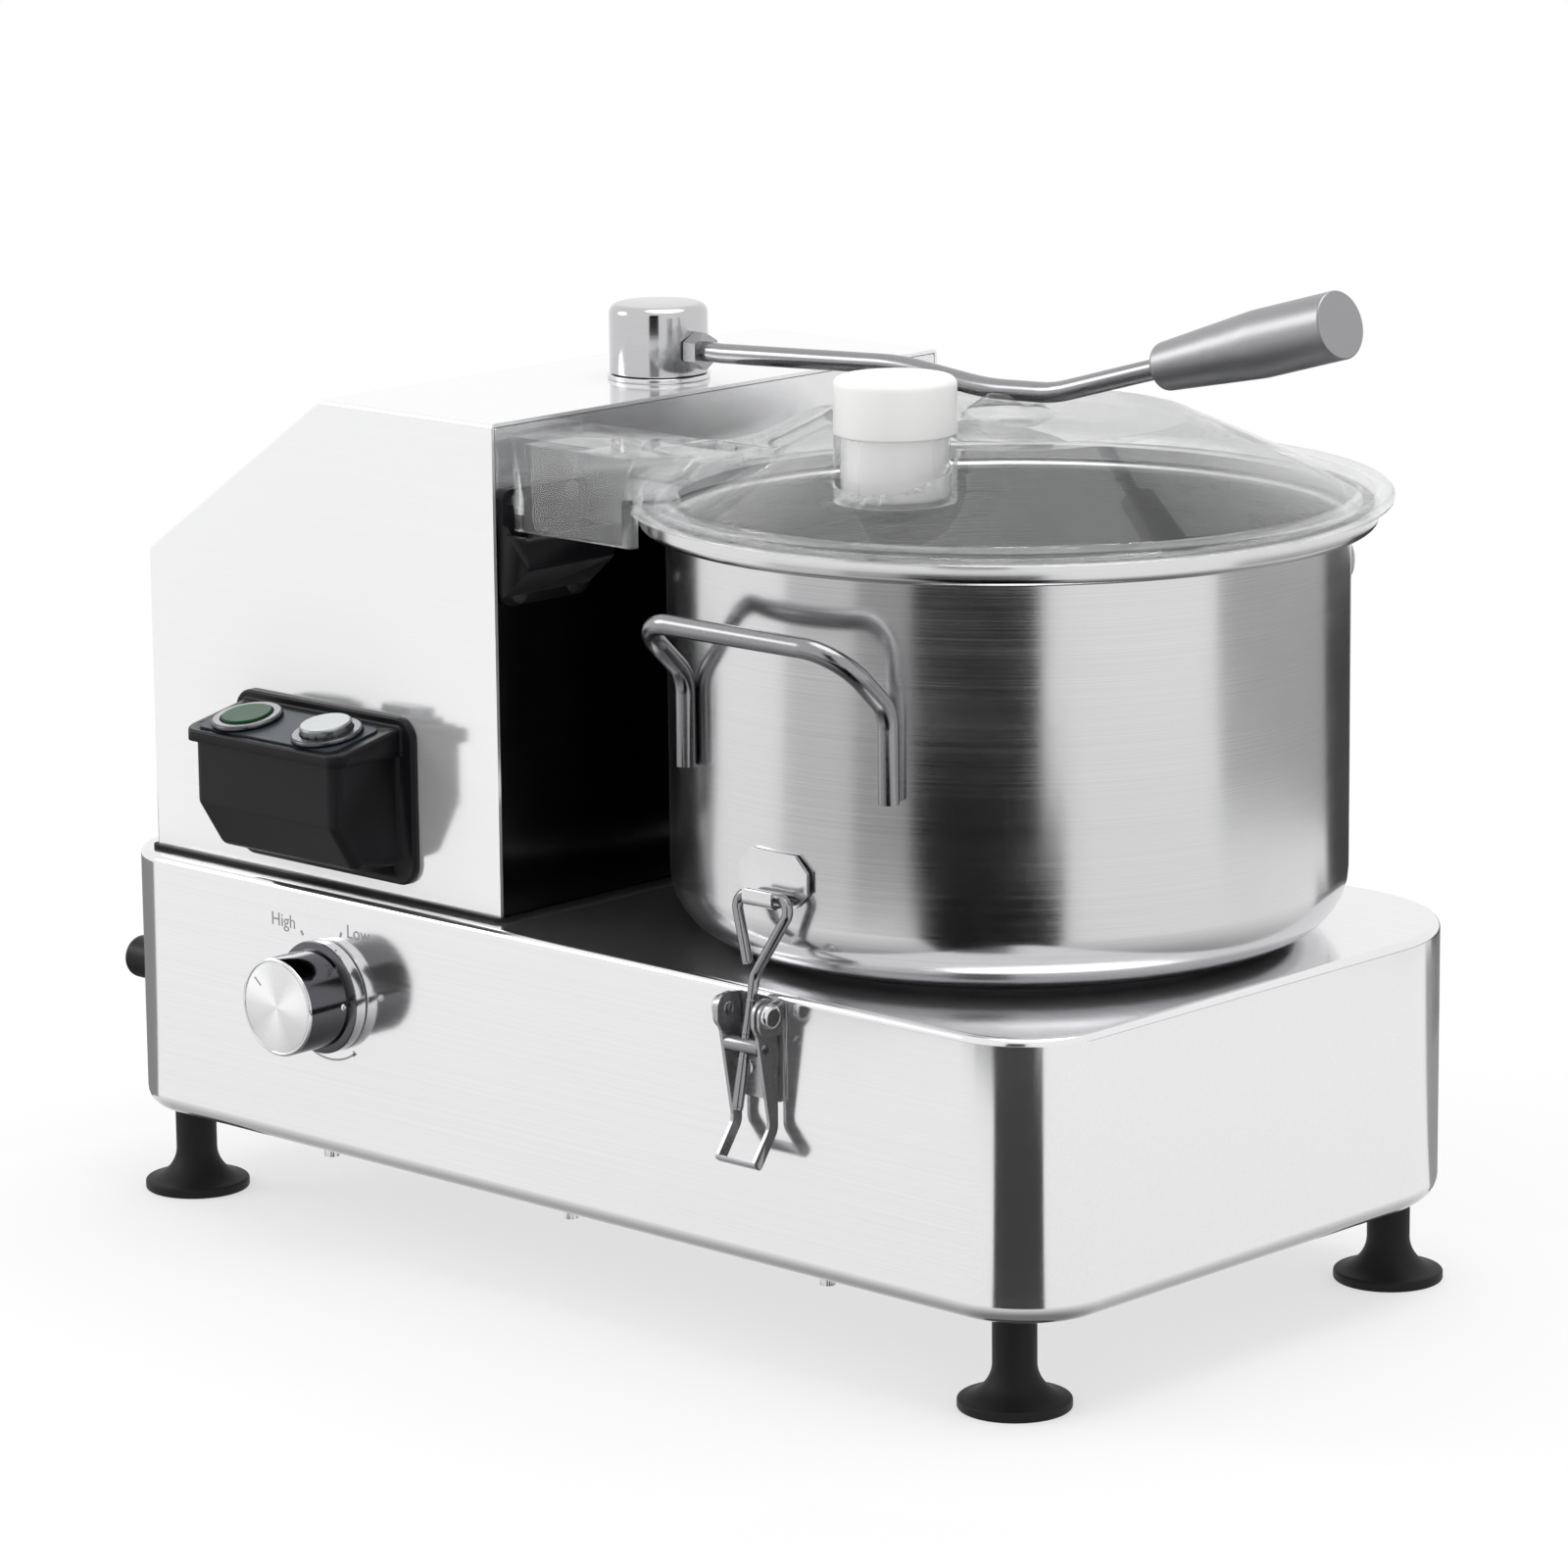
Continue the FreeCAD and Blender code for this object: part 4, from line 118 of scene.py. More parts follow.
class NodeTree:
    """A small wrapper that adds and links the nodes of one material, or of the world."""

    def __init__(self, owner: bpy.types.Material | bpy.types.World, shader: str = "ShaderNodeBsdfPrincipled",
                 output: str = "ShaderNodeOutputMaterial") -> None:
        """Clears the owner's tree, and adds its output and main shader.

        Args:
            owner: The material or the world.
            shader: Blender's name of the main shader.
            output: Blender's name of the output node.
        """
        owner.use_nodes = True
        self.tree = owner.node_tree
        self.tree.nodes.clear()
        self.output = self.add(output)
        self.shader = self.add(shader)
        self.show(self.shader)

    def add(self, kind: str, **settings: object) -> bpy.types.Node:
        """Adds a node.

        Args:
            kind: Blender's name of the node type.
            settings: Properties of the node to set.

        Returns:
            The new node.
        """
        node = self.tree.nodes.new(kind)
        for name, value in settings.items():
            setattr(node, name, value)
        return node

    def link(self, source: Socket, target: Socket) -> None:
        """Links one socket to another."""
        self.tree.links.new(source, target)

    def show(self, shader: bpy.types.Node) -> None:
        """Makes a shader the one that the surface shows."""
        self.link(shader.outputs[0], self.output.inputs["Surface"])

    def set(self, **values: object) -> None:
        """Sets sockets of the main shader; an underscore stands for a space."""
        for name, value in values.items():
            self.shader.inputs[name.replace("_", " ")].default_value = value

    def feed(self, source: Socket, name: str) -> None:
        """Leads a value into a socket of the main shader."""
        self.link(source, self.shader.inputs[name])

    def scaled(self, vector: Socket, scale: Point) -> Socket:
        """A vector with each coordinate scaled.

        Args:
            vector: The vector.
            scale: Scale of its three coordinates.

        Returns:
            The scaled vector.
        """
        mapping = self.add("ShaderNodeMapping")
        mapping.inputs["Scale"].default_value = scale
        self.link(vector, mapping.inputs["Vector"])
        return mapping.outputs["Vector"]

    def object_coordinates(self, scale: Point = (1.0, 1.0, 1.0)) -> Socket:
        """Object coordinates, scaled along X, Y and Z."""
        return self.scaled(self.add("ShaderNodeTexCoord").outputs["Object"], scale)

    def uv_coordinates(self, scale: Point = (1.0, 1.0, 1.0)) -> Socket:
        """The piece's own UV map, scaled along U, V and W."""
        return self.scaled(self.add("ShaderNodeUVMap", uv_map=UV_AROUND).outputs["UV"], scale)

    def part(self, vector: Socket, axis: str) -> Socket:
        """One coordinate of a vector.

        Args:
            vector: The vector.
            axis: X, Y or Z.

        Returns:
            The coordinate.
        """
        parts = self.add("ShaderNodeSeparateXYZ")
        self.link(vector, parts.inputs["Vector"])
        return parts.outputs[axis]

    def facing(self, blend: float) -> Socket:
        """How far a surface turns from the ray that meets it.

        Args:
            blend: Weight of the faces seen at a slant.

        Returns:
            The turn, from 0 for straight on to 1 for grazing.
        """
        weight = self.add("ShaderNodeLayerWeight")
        weight.inputs["Blend"].default_value = blend
        return weight.outputs["Facing"]

    def noise(self, vector: Socket, scale: float, detail: float = 2.0, roughness: float = 0.5) -> Socket:
        """Fractal noise.

        Args:
            vector: The coordinates that it reads.
            scale: Size of its grain.
            detail: Number of octaves.
            roughness: Weight of the finer octaves.

        Returns:
            The noise value.
        """
        texture = self.add("ShaderNodeTexNoise")
        texture.inputs["Scale"].default_value = scale
        texture.inputs["Detail"].default_value = detail
        texture.inputs["Roughness"].default_value = roughness
        self.link(vector, texture.inputs["Vector"])
        return texture.outputs["Fac"]

    def calculate(self, operation: str, *values: Socket | float) -> Socket:
        """The result of one sum.

        Args:
            operation: Blender's name of the operation.
            values: What goes in, as sockets or plain numbers.

        Returns:
            The result.
        """
        node = self.add("ShaderNodeMath", operation=operation)
        for target, value in zip(node.inputs, values):
            if isinstance(value, float):
                target.default_value = value
            else:
                self.link(value, target)
        return node.outputs["Value"]

    def remap(self, value: Socket, low: float = 0.0, high: float = 1.0,
              from_low: float = 0.3, from_high: float = 0.7) -> Socket:
        """Maps a value onto another range.

        Args:
            value: The value to map.
            low: Result at the bottom of the range.
            high: Result at the top of the range.
            from_low: Bottom of the range.
            from_high: Top of the range.

        Returns:
            The mapped value.
        """
        node = self.add("ShaderNodeMapRange")
        self.link(value, node.inputs["Value"])
        ends = {"From Min": from_low, "From Max": from_high, "To Min": low, "To Max": high}
        for name, amount in ends.items():
            node.inputs[name].default_value = amount
        return node.outputs["Result"]

    def blend_colours(self, factor: Socket, first: Colour, second: Colour) -> Socket:
        """A mix of two colours.

        Args:
            factor: Share of the second colour.
            first: The first colour.
            second: The second colour.

        Returns:
            The mixed colour.
        """
        node = self.add("ShaderNodeMix", data_type="RGBA")
        self.link(factor, node.inputs["Factor"])
        node.inputs["A"].default_value = (*first, 1.0)
        node.inputs["B"].default_value = (*second, 1.0)
        return node.outputs["Result"]

    def blend_shaders(self, factor: Socket, first: bpy.types.Node, second: bpy.types.Node) -> bpy.types.Node:
        """A mix of two shaders.

        Args:
            factor: Share of the second shader.
            first: The first shader.
            second: The second shader.

        Returns:
            The mixed shader.
        """
        node = self.add("ShaderNodeMixShader")
        self.link(factor, node.inputs["Fac"])
        self.link(first.outputs[0], node.inputs[1])
        self.link(second.outputs[0], node.inputs[2])
        return node

    def painted_highlight_sectors(self, vector: Socket, count: float, phase: float) -> Socket:
        """Painted highlights: a wave round an axis, painted into the colour for the sectors where a spun face
        reflects its surroundings.

        Args:
            vector: Coordinates whose X is one turn long.
            count: Number of painted bright sectors.
            phase: Turn of the pattern in radians.

        Returns:
            The wave, from 0 to 1.
        """
        turn = self.calculate("MULTIPLY_ADD", self.part(vector, "X"), count * FULL_TURN, phase)
        return self.remap(self.calculate("SINE", turn), from_low=-0.7, from_high=0.9)

    def bump(self, height: Socket, distance: float, strength: float = 1.0) -> None:
        """Raises the surface by a height, for shading only.

        Args:
            height: The height, from 0 to 1.
            distance: The rise at the top, in metres.
            strength: Share of the rise that shows.
        """
        node = self.add("ShaderNodeBump")
        node.inputs["Strength"].default_value = strength
        node.inputs["Distance"].default_value = distance
        self.link(height, node.inputs["Height"])
        self.feed(node.outputs["Normal"], "Normal")


@dataclass(frozen=True)
class Steel:
    """Stainless steel or another bare metal.

    Attributes:
        name: Name of the material.
        colour: Colour of its reflections.
        roughness: Lowest roughness.
        roughness_span: How much the roughness varies.
        brushing: The way that its lines run.
        streak: Height of the brushing lines in metres.
        anisotropy: How far reflections stretch across the lines.
        tint: How much darker the marks, the painted shade and the dark parts of painted highlights are than
            the colour.
        metallic: Share of mirror; the rest is a pale haze of fine scratches.
        painted_shade_top: Height up to which a painted shade darkens the colour; above it the steel shows its
            full brightness.
        fade: Height over which the painted shade ends.
        painted_highlight_count: Number of painted bright sectors on a spun face.
        painted_highlight_phase: Turn of those painted sectors in radians.
        cloud_scale: Fineness of the faint marks.
    """

    name: str
    colour: Colour
    roughness: float
    roughness_span: float
    brushing: Brushing = Brushing.NONE
    streak: float = 0.000004
    anisotropy: float = 0.0
    tint: float = 0.9
    metallic: float = 1.0
    painted_shade_top: float = 0.0
    fade: float = 0.012
    painted_highlight_count: float = 3.0
    painted_highlight_phase: float = 0.6
    cloud_scale: float = 22.0

    def build(self) -> bpy.types.Material:
        """Makes the material.

        Returns:
            The material.
        """
        material = bpy.data.materials.new(self.name)
        nodes = NodeTree(material)
        nodes.set(Metallic=self.metallic)
        scale = LINE_SCALES[self.brushing]
        turned = self.brushing in (Brushing.AROUND, Brushing.SPUN_PAINTED_HIGHLIGHTS)
        vector = nodes.uv_coordinates(scale) if turned else nodes.object_coordinates(scale)
        lines = nodes.noise(vector, scale=1.0, detail=3.0, roughness=0.6)
        if turned:
            tangent = nodes.add("ShaderNodeTangent", direction_type="UV_MAP", uv_map=UV_AROUND)
            nodes.feed(tangent.outputs["Tangent"], "Tangent")
            nodes.set(Anisotropic=self.anisotropy)
        clouds = nodes.noise(nodes.object_coordinates(), self.cloud_scale, detail=4.0, roughness=0.6)
        marks = nodes.calculate("ADD", lines, clouds)
        rough = nodes.remap(marks, self.roughness, self.roughness + self.roughness_span, 0.7, 1.3)
        nodes.feed(rough, "Roughness")
        # Below a height the colour is a painted shade, and the steel is bright above it.
        if self.painted_shade_top:
            height = nodes.part(nodes.object_coordinates(), "Z")
            painted_light_and_marks = nodes.remap(height, from_low=self.painted_shade_top, from_high=self.painted_shade_top + self.fade)
        # A spun face gets painted highlights: bright sectors in its colour.
        elif self.brushing is Brushing.SPUN_PAINTED_HIGHLIGHTS:
            painted_light_and_marks = nodes.painted_highlight_sectors(nodes.uv_coordinates(), self.painted_highlight_count, self.painted_highlight_phase)
        else:
            painted_light_and_marks = nodes.remap(lines)
        darker = tuple(channel * self.tint for channel in self.colour)
        nodes.feed(nodes.blend_colours(painted_light_and_marks, darker, self.colour), "Base Color")
        nodes.bump(lines, self.streak)
        return material


@dataclass(frozen=True)
class Plastic:
    """A moulded plastic, paint or rubber with a fine grain.

    Attributes:
        name: Name of the material.
        colour: Its colour.
        second: Colour of the faint mottling.
        roughness: Lowest roughness.
        grain_scale: Fineness of the grain.
        grain_height: Height of the grain in metres.
        subsurface: Share of light that passes under the skin.
        specular: Strength of its gloss.
        roughness_span: How much the roughness varies.
        cloud_scale: Fineness of the mottling.
        skin_depth: How deep light passes under the skin, in metres.
    """

    name: str
    colour: Colour
    second: Colour
    roughness: float
    grain_scale: float = 1400.0
    grain_height: float = 0.00002
    subsurface: float = 0.0
    specular: float = 0.5
    roughness_span: float = 0.08
    cloud_scale: float = 35.0
    skin_depth: float = 0.004

    def build(self) -> bpy.types.Material:
        """Makes the material.

        Returns:
            The material.
        """
        material = bpy.data.materials.new(self.name)
        nodes = NodeTree(material)
        plain = nodes.object_coordinates()
        clouds = nodes.noise(plain, self.cloud_scale, detail=4.0)
        nodes.feed(nodes.blend_colours(nodes.remap(clouds), self.colour, self.second), "Base Color")
        nodes.feed(nodes.remap(clouds, self.roughness, self.roughness + self.roughness_span), "Roughness")
        nodes.bump(nodes.noise(plain, self.grain_scale), self.grain_height, strength=0.6)
        nodes.set(Specular_IOR_Level=self.specular)
        if self.subsurface:
            nodes.set(Subsurface_Weight=self.subsurface, Subsurface_Scale=self.skin_depth,
                      Subsurface_Radius=(1.0, 1.0, 1.0))
        return material


@dataclass(frozen=True)
class ClearPlastic:
    """Clear moulded polycarbonate.

    Attributes:
        name: Name of the material.
        colour: Colour of the light that passes.
        second: Colour of the light that passes its clearest places.
        roughness: Lowest roughness.
        roughness_span: How much the roughness varies.
        body: How much of the view its flat walls bend; the rest passes straight through.
        edge: How much of the view its rims and corners bend.
        clearness: Share of the light that passes.
        bending: How strongly it bends light.
        wave_height: Height of the faint waves that moulding leaves, in metres.
    """

    name: str
    colour: Colour
    second: Colour
    roughness: float
    roughness_span: float = 0.03
    body: float = 0.16
    edge: float = 0.9
    clearness: float = 0.74
    bending: float = 1.45
    wave_height: float = 0.0004

    def build(self) -> bpy.types.Material:
        """Makes the material.

        Returns:
            The material.
        """
        material = bpy.data.materials.new(self.name)
        nodes = NodeTree(material)
        plain = nodes.object_coordinates()
        haze = nodes.noise(plain, scale=60.0, detail=3.0)
        nodes.feed(nodes.remap(haze, self.roughness, self.roughness + self.roughness_span), "Roughness")
        nodes.feed(nodes.blend_colours(nodes.remap(haze), self.colour, self.second), "Base Color")
        nodes.bump(nodes.noise(plain, scale=14.0, detail=1.0), self.wave_height, strength=0.25)
        nodes.set(Transmission_Weight=self.clearness, IOR=self.bending)
        nodes.feed(nodes.remap(nodes.facing(0.4), self.body, self.edge, 0.45, 0.95), "Alpha")
        return material


class Palette:
    """Every finish of the machine, made once.

    Attributes:
        FINISHES: The finishes.
    """

    FINISHES: ClassVar[tuple[Steel | Plastic | ClearPlastic, ...]] = (
        Steel("steel_polished", (0.90, 0.90, 0.91), roughness=0.09, roughness_span=0.05,
              brushing=Brushing.ALONG_X, streak=0.0000012, tint=0.98, metallic=0.62),
        Steel("steel_base", (0.85, 0.85, 0.86), roughness=0.10, roughness_span=0.06,
              brushing=Brushing.ALONG_X, streak=0.0000018, tint=0.95, metallic=0.94),
        Steel("steel_bowl", (0.74, 0.74, 0.75), roughness=0.13, roughness_span=0.08,
              brushing=Brushing.AROUND, streak=0.0000024, anisotropy=0.30),
        # The bowl's inside: its dark colour is a painted shade, its rougher finish is real.
        Steel("steel_bowl_inside_painted_shade", (0.22, 0.22, 0.225), roughness=0.24, roughness_span=0.10,
              brushing=Brushing.AROUND, streak=0.0000030, anisotropy=0.4, tint=0.85),
        Steel("steel_cap", (0.56, 0.56, 0.57), roughness=0.08, roughness_span=0.06,
              brushing=Brushing.AROUND, streak=0.0000010, anisotropy=0.2, tint=0.95),
        # The tower front's colour is painted light: a near-black painted shade low on the panel, and full
        # brightness at its top where it reflects the light.
        Steel("steel_tower_front", (0.80, 0.80, 0.81), roughness=0.14, roughness_span=0.06,
              brushing=Brushing.ALONG_Y, streak=0.0000012, tint=0.06, painted_shade_top=0.302),
        Steel("steel_satin", (0.62, 0.62, 0.63), roughness=0.28, roughness_span=0.10, tint=0.94),
        Steel("steel_wire", (0.32, 0.32, 0.33), roughness=0.17, roughness_span=0.08, streak=0.000003),
        Steel("steel_latch", (0.46, 0.46, 0.47), roughness=0.20, roughness_span=0.08, streak=0.000003,
              tint=0.88, metallic=0.86),
        Steel("steel_bright", (0.74, 0.74, 0.75), roughness=0.12, roughness_span=0.08, streak=0.000002,
              tint=0.94),
        Steel("grip_satin", (0.34, 0.34, 0.35), roughness=0.30, roughness_span=0.08,
              brushing=Brushing.AROUND, streak=0.0000030, anisotropy=0.4, tint=0.95),
        Steel("chrome", (0.13, 0.13, 0.14), roughness=0.07, roughness_span=0.04, streak=0.000001),
        Steel("chrome_band", (0.80, 0.80, 0.81), roughness=0.08, roughness_span=0.04, streak=0.000001,
              tint=0.95),
        # The knob face's bright sectors are painted highlights.
        Steel("knob_face", (0.96, 0.96, 0.97), roughness=0.24, roughness_span=0.08,
              brushing=Brushing.SPUN_PAINTED_HIGHLIGHTS, streak=0.0000030, anisotropy=0.7, tint=0.80),
        Steel("dark_ring", (0.11, 0.11, 0.12), roughness=0.22, roughness_span=0.08, streak=0.000003,
              tint=0.80),
        Steel("silver_cap", (0.26, 0.27, 0.27), roughness=0.26, roughness_span=0.08, streak=0.000003,
              tint=0.92),
        Steel("cast_alloy", (0.60, 0.61, 0.63), roughness=0.42, roughness_span=0.12, streak=0.00002,
              tint=0.85),
        Steel("blade_steel", (0.80, 0.80, 0.82), roughness=0.14, roughness_span=0.08,
              brushing=Brushing.ALONG_X, streak=0.000003, tint=0.94),
        Plastic("black_moulding", (0.004, 0.004, 0.005), second=(0.007, 0.007, 0.009), roughness=0.34,
                grain_scale=1500.0, grain_height=0.00003, specular=0.22),
        Plastic("panel_blue_grey", (0.022, 0.030, 0.042), second=(0.030, 0.038, 0.052), roughness=0.42,
                grain_scale=1800.0, grain_height=0.00001, specular=0.3),
        Plastic("white_nylon", (0.90, 0.90, 0.89), second=(0.93, 0.93, 0.92), roughness=0.30,
                grain_scale=900.0, grain_height=0.00001, subsurface=0.25),
        Plastic("green_cap", (0.002, 0.034, 0.009), second=(0.004, 0.060, 0.017), roughness=0.24,
                grain_scale=900.0, grain_height=0.00001, specular=0.06),
        Plastic("black_rubber", (0.006, 0.006, 0.007), second=(0.010, 0.010, 0.011), roughness=0.50,
                grain_scale=1100.0, grain_height=0.00004, specular=0.2),
        Plastic("grey_rubber", (0.35, 0.35, 0.36), second=(0.40, 0.40, 0.41), roughness=0.50,
                grain_scale=1100.0, grain_height=0.00003),
        Plastic("dark_paint", (0.035, 0.036, 0.040), second=(0.045, 0.046, 0.050), roughness=0.38,
                grain_scale=700.0, grain_height=0.00003),
        Plastic("board_green", (0.010, 0.090, 0.040), second=(0.014, 0.110, 0.050), roughness=0.40,
                grain_scale=700.0),
        Plastic("print_grey", (0.30, 0.30, 0.31), second=(0.36, 0.36, 0.37), roughness=0.50,
                grain_scale=900.0, grain_height=0.00001),
        ClearPlastic("clear_lid", (0.95, 0.97, 0.97), second=(0.97, 0.98, 0.98), roughness=0.01),
    )

    def __init__(self) -> None:
        """Builds all the materials."""
        self.materials = {finish.name: finish.build() for finish in self.FINISHES}

    def dress(self, piece: bpy.types.Object, name: str) -> None:
        """Gives a piece one finish."""
        piece.data.materials.clear()
        piece.data.materials.append(self.materials[name])


def into_mesh(shape: bmesh.types.BMesh, name: str) -> bpy.types.Mesh:
    """Turns a shape into a mesh.

    Args:
        shape: The shape, which is freed.
        name: Name of the mesh.

    Returns:
        The mesh.
    """
    mesh = bpy.data.meshes.new(name)
    shape.to_mesh(mesh)
    shape.free()
    return mesh


def into_scene(name: str, data: bpy.types.ID) -> bpy.types.Object:
    """Puts a new object with its data in the scene.

    Args:
        name: Name of the object.
        data: Its mesh, lamp, camera or text.

    Returns:
        The object.
    """
    piece = bpy.data.objects.new(name, data)
    bpy.context.scene.collection.objects.link(piece)
    return piece


class Workshop:
    """Makes pieces, and puts them on their bodies."""

    def __init__(self, frame: dict[str, Any], palette: Palette) -> None:
        """Keeps the frame and the finishes.

        Args:
            frame: The frame of the CAD model.
            palette: The finishes.
        """
        self.frame = frame
        self.palette = palette
        self.slots = {row["node"]: row["material_slot"] for row in frame["record"]["subparts"]}

    def finish(self, shape: bmesh.types.BMesh, name: str, material: str, body: str, slot: str,
               replaces: Iterable[str] = (), angle: float = SMOOTH_ANGLE) -> bpy.types.Object:
        """Turns a shape into a smooth, dressed piece on its body.

        Args:
            shape: The shape, which is freed.
            name: Name of the piece.
            material: Name of its finish.
            body: The body that it rides on.
            slot: The record's material slot; not used.
            replaces: The nodes that it stands for.
            angle: Edges sharper than this stay sharp.

        Returns:
            The new piece.
        """
        mesh = into_mesh(shape, name)
        mesh.shade_smooth()
        mesh.set_sharp_from_angle(angle=angle)
        piece = into_scene(name, mesh)
        self.palette.dress(piece, material)
        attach(piece, body)
        if replaces:
            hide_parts(*replaces)
        LOG.info("piece %s on %s: %d faces", name, body, len(mesh.polygons))
        return piece

    def smooth_copy(self, node: str, material: str) -> bpy.types.Object:
        """A merged, smooth copy of a CAD node that stands for it.

        Args:
            node: The node.
            material: Name of its finish.

        Returns:
            The new piece.
        """
        source = self.frame["nodes"][node]
        shape = bmesh.new()
        shape.from_mesh(source.data)
        bmesh.ops.remove_doubles(shape, verts=shape.verts, dist=MERGE_DISTANCE * 5)
        piece = self.finish(shape, f"{node}_dressed", material, source["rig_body"], self.slots[node], [node])
        self.keep_flat(piece)
        return piece

    @staticmethod
    def keep_flat(piece: bpy.types.Object) -> None:
        """Keeps the flat faces of a piece flat beside their rounds."""
        modifier = piece.modifiers.new("flat_faces", "WEIGHTED_NORMAL")
        modifier.keep_sharp = True
        modifier.weight = 90

    def give_uv_around(self, piece: bpy.types.Object, origin: Vector, axis: Point) -> None:
        """Writes a UV map whose U runs round an axis and whose V runs along the profile.

        Args:
            piece: The piece.
            origin: A point on the axis.
            axis: The direction of the axis.
        """
        turn = Vector(axis).normalized().rotation_difference(Vector(UP))
        mesh = piece.data
        layer = mesh.uv_layers.new(name=UV_AROUND)
        slant = 0.7
        for polygon in mesh.polygons:
            corners = []
            for loop in polygon.loop_indices:
                local = turn @ (mesh.vertices[mesh.loops[loop].vertex_index].co - origin)
                corners.append((math.atan2(local.y, local.x), math.hypot(local.x, local.y), local.z))
            known = [angle for angle, radius, _ in corners if radius > MERGE_DISTANCE]
            middle = known[0] if known else 0.0
            for loop, (angle, radius, height) in zip(polygon.loop_indices, corners):
                if radius <= MERGE_DISTANCE:
                    angle = sum(self.near(value, middle) for value in known) / len(known)
                layer.data[loop].uv = (self.near(angle, middle) / FULL_TURN, radius * slant + height)

    @staticmethod
    def near(angle: float, middle: float) -> float:
        """The angle, with whole turns added so that it lies close to another.

        Args:
            angle: The angle in radians.
            middle: The angle that it is brought close to.

        Returns:
            The angle beside the other.
        """
        while angle - middle > math.pi:
            angle -= FULL_TURN
        while middle - angle > math.pi:
            angle += FULL_TURN
        return angle


@dataclass(frozen=True)
class Knot:
    """A corner of a turned profile.

    Attributes:
        r: Distance from the axis.
        z: Place along the axis.
        rounding: Radius of the corner.
    """

    r: float
    z: float
    rounding: float = 0.0


def rounding_offset(before: Knot, corner: Knot, after: Knot) -> float:
    """How far along its edges a corner's rounding reaches.

    Args:
        before: The knot before the corner.
        corner: The corner.
        after: The knot after it.

    Returns:
        The distance from the corner to where the rounding starts.
    """
    back = Vector((before.r - corner.r, before.z - corner.z))
    ahead = Vector((after.r - corner.r, after.z - corner.z))
    return corner.rounding / math.tan(back.angle(ahead) / 2.0)


def round_off(shape: bmesh.types.BMesh, geometry: list[bmesh.types.BMEdge] | list[bmesh.types.BMVert],
              reach: float, segments: int, affect: str = "EDGES") -> None:
    """Rounds edges or corners of a shape.

    Args:
        shape: The shape.
        geometry: The edges or corners.
        reach: How far along the faces beside them the rounding starts.
        segments: Number of steps in the rounding.
        affect: EDGES or VERTICES.
    """
    bmesh.ops.bevel(shape, geom=geometry, offset=reach, offset_type="OFFSET", segments=segments,
                    profile=0.5, affect=affect, material=-1)


def sweep(shape: bmesh.types.BMesh, geometry: list[bmesh.types.BMVert | bmesh.types.BMEdge],
          centre: Iterable[float], axis: Point, angle: float, steps: int, merge: bool = False) -> None:
    """Sweeps edges round an axis, which leaves faces along their way.

    Args:
        shape: The shape.
        geometry: The edges and their ends.
        centre: A point on the axis.
        axis: The direction of the axis.
        angle: How far they turn, in radians.
        steps: Number of steps on the way.
        merge: Whether the last step joins the first.
    """
    bmesh.ops.spin(shape, geom=geometry, cent=centre, axis=axis, dvec=(0, 0, 0), angle=angle, steps=steps,
                   use_merge=merge, use_normal_flip=False, use_duplicate=False)


def band(first: Vector, second: Vector, centre: Vector, axis: Point, angle: float,
         steps: int) -> bmesh.types.BMesh:
    """The band that one straight edge leaves as it turns round an axis.

    Args:
        first: One end of the edge.
        second: The other end.
        centre: A point on the axis.
        axis: The direction of the axis.
        angle: How far the edge turns, in radians.
        steps: Number of steps on the way.

    Returns:
        The band.
    """
    shape = bmesh.new()
    ends = [shape.verts.new(first), shape.verts.new(second)]
    sweep(shape, [*ends, shape.edges.new(ends)], centre, axis, angle, steps)
    return shape


def lathe(knots: list[Knot], closed: bool = False, steps: int = 160, arc_steps: int = 8) -> bmesh.types.BMesh:
    """Spins a profile about the Z axis.

    Args:
        knots: The profile's corners.
        closed: Whether the last corner joins the first.
        steps: Number of steps round the axis.
        arc_steps: Number of steps in each rounded corner.

    Returns:
        The turned shape.
    """
    shape = bmesh.new()
    verts = [shape.verts.new((knot.r, 0.0, knot.z)) for knot in knots]
    for first, second in zip(verts, verts[1:]):
        shape.edges.new((first, second))
    if closed:
        shape.edges.new((verts[-1], verts[0]))
    for index, knot in enumerate(knots):
        if knot.rounding > 0.0:
            reach = rounding_offset(knots[index - 1], knot, knots[(index + 1) % len(knots)])
            round_off(shape, [verts[index]], reach, arc_steps, "VERTICES")
    sweep(shape, shape.verts[:] + shape.edges[:], (0, 0, 0), UP, FULL_TURN, steps, merge=True)
    bmesh.ops.remove_doubles(shape, verts=shape.verts, dist=MERGE_DISTANCE)
    bmesh.ops.recalc_face_normals(shape, faces=shape.faces)
    return shape


def block(size: Point) -> bmesh.types.BMesh:
    """A plain block about the origin.

    Args:
        size: Its size along X, Y and Z.

    Returns:
        The block.
    """
    shape = bmesh.new()
    bmesh.ops.create_cube(shape, size=1.0)
    bmesh.ops.scale(shape, vec=size, verts=shape.verts)
    return shape


def move(shape: bmesh.types.BMesh, matrix: Matrix) -> bmesh.types.BMesh:
    """Moves a whole shape by a matrix, and gives it back."""
    bmesh.ops.transform(shape, matrix=matrix, verts=shape.verts)
    return shape


def standing(x: float, y: float, z: float) -> Matrix:
    """A place for a shape that stands upright."""
    return Matrix.Translation((x, y, z))


def facing(x: float, y: float, z: float, direction: Point) -> Matrix:
    """A place for a shape whose Z axis points in a direction."""
    turn = Vector(UP).rotation_difference(Vector(direction)).to_matrix().to_4x4()
    return Matrix.Translation((x, y, z)) @ turn


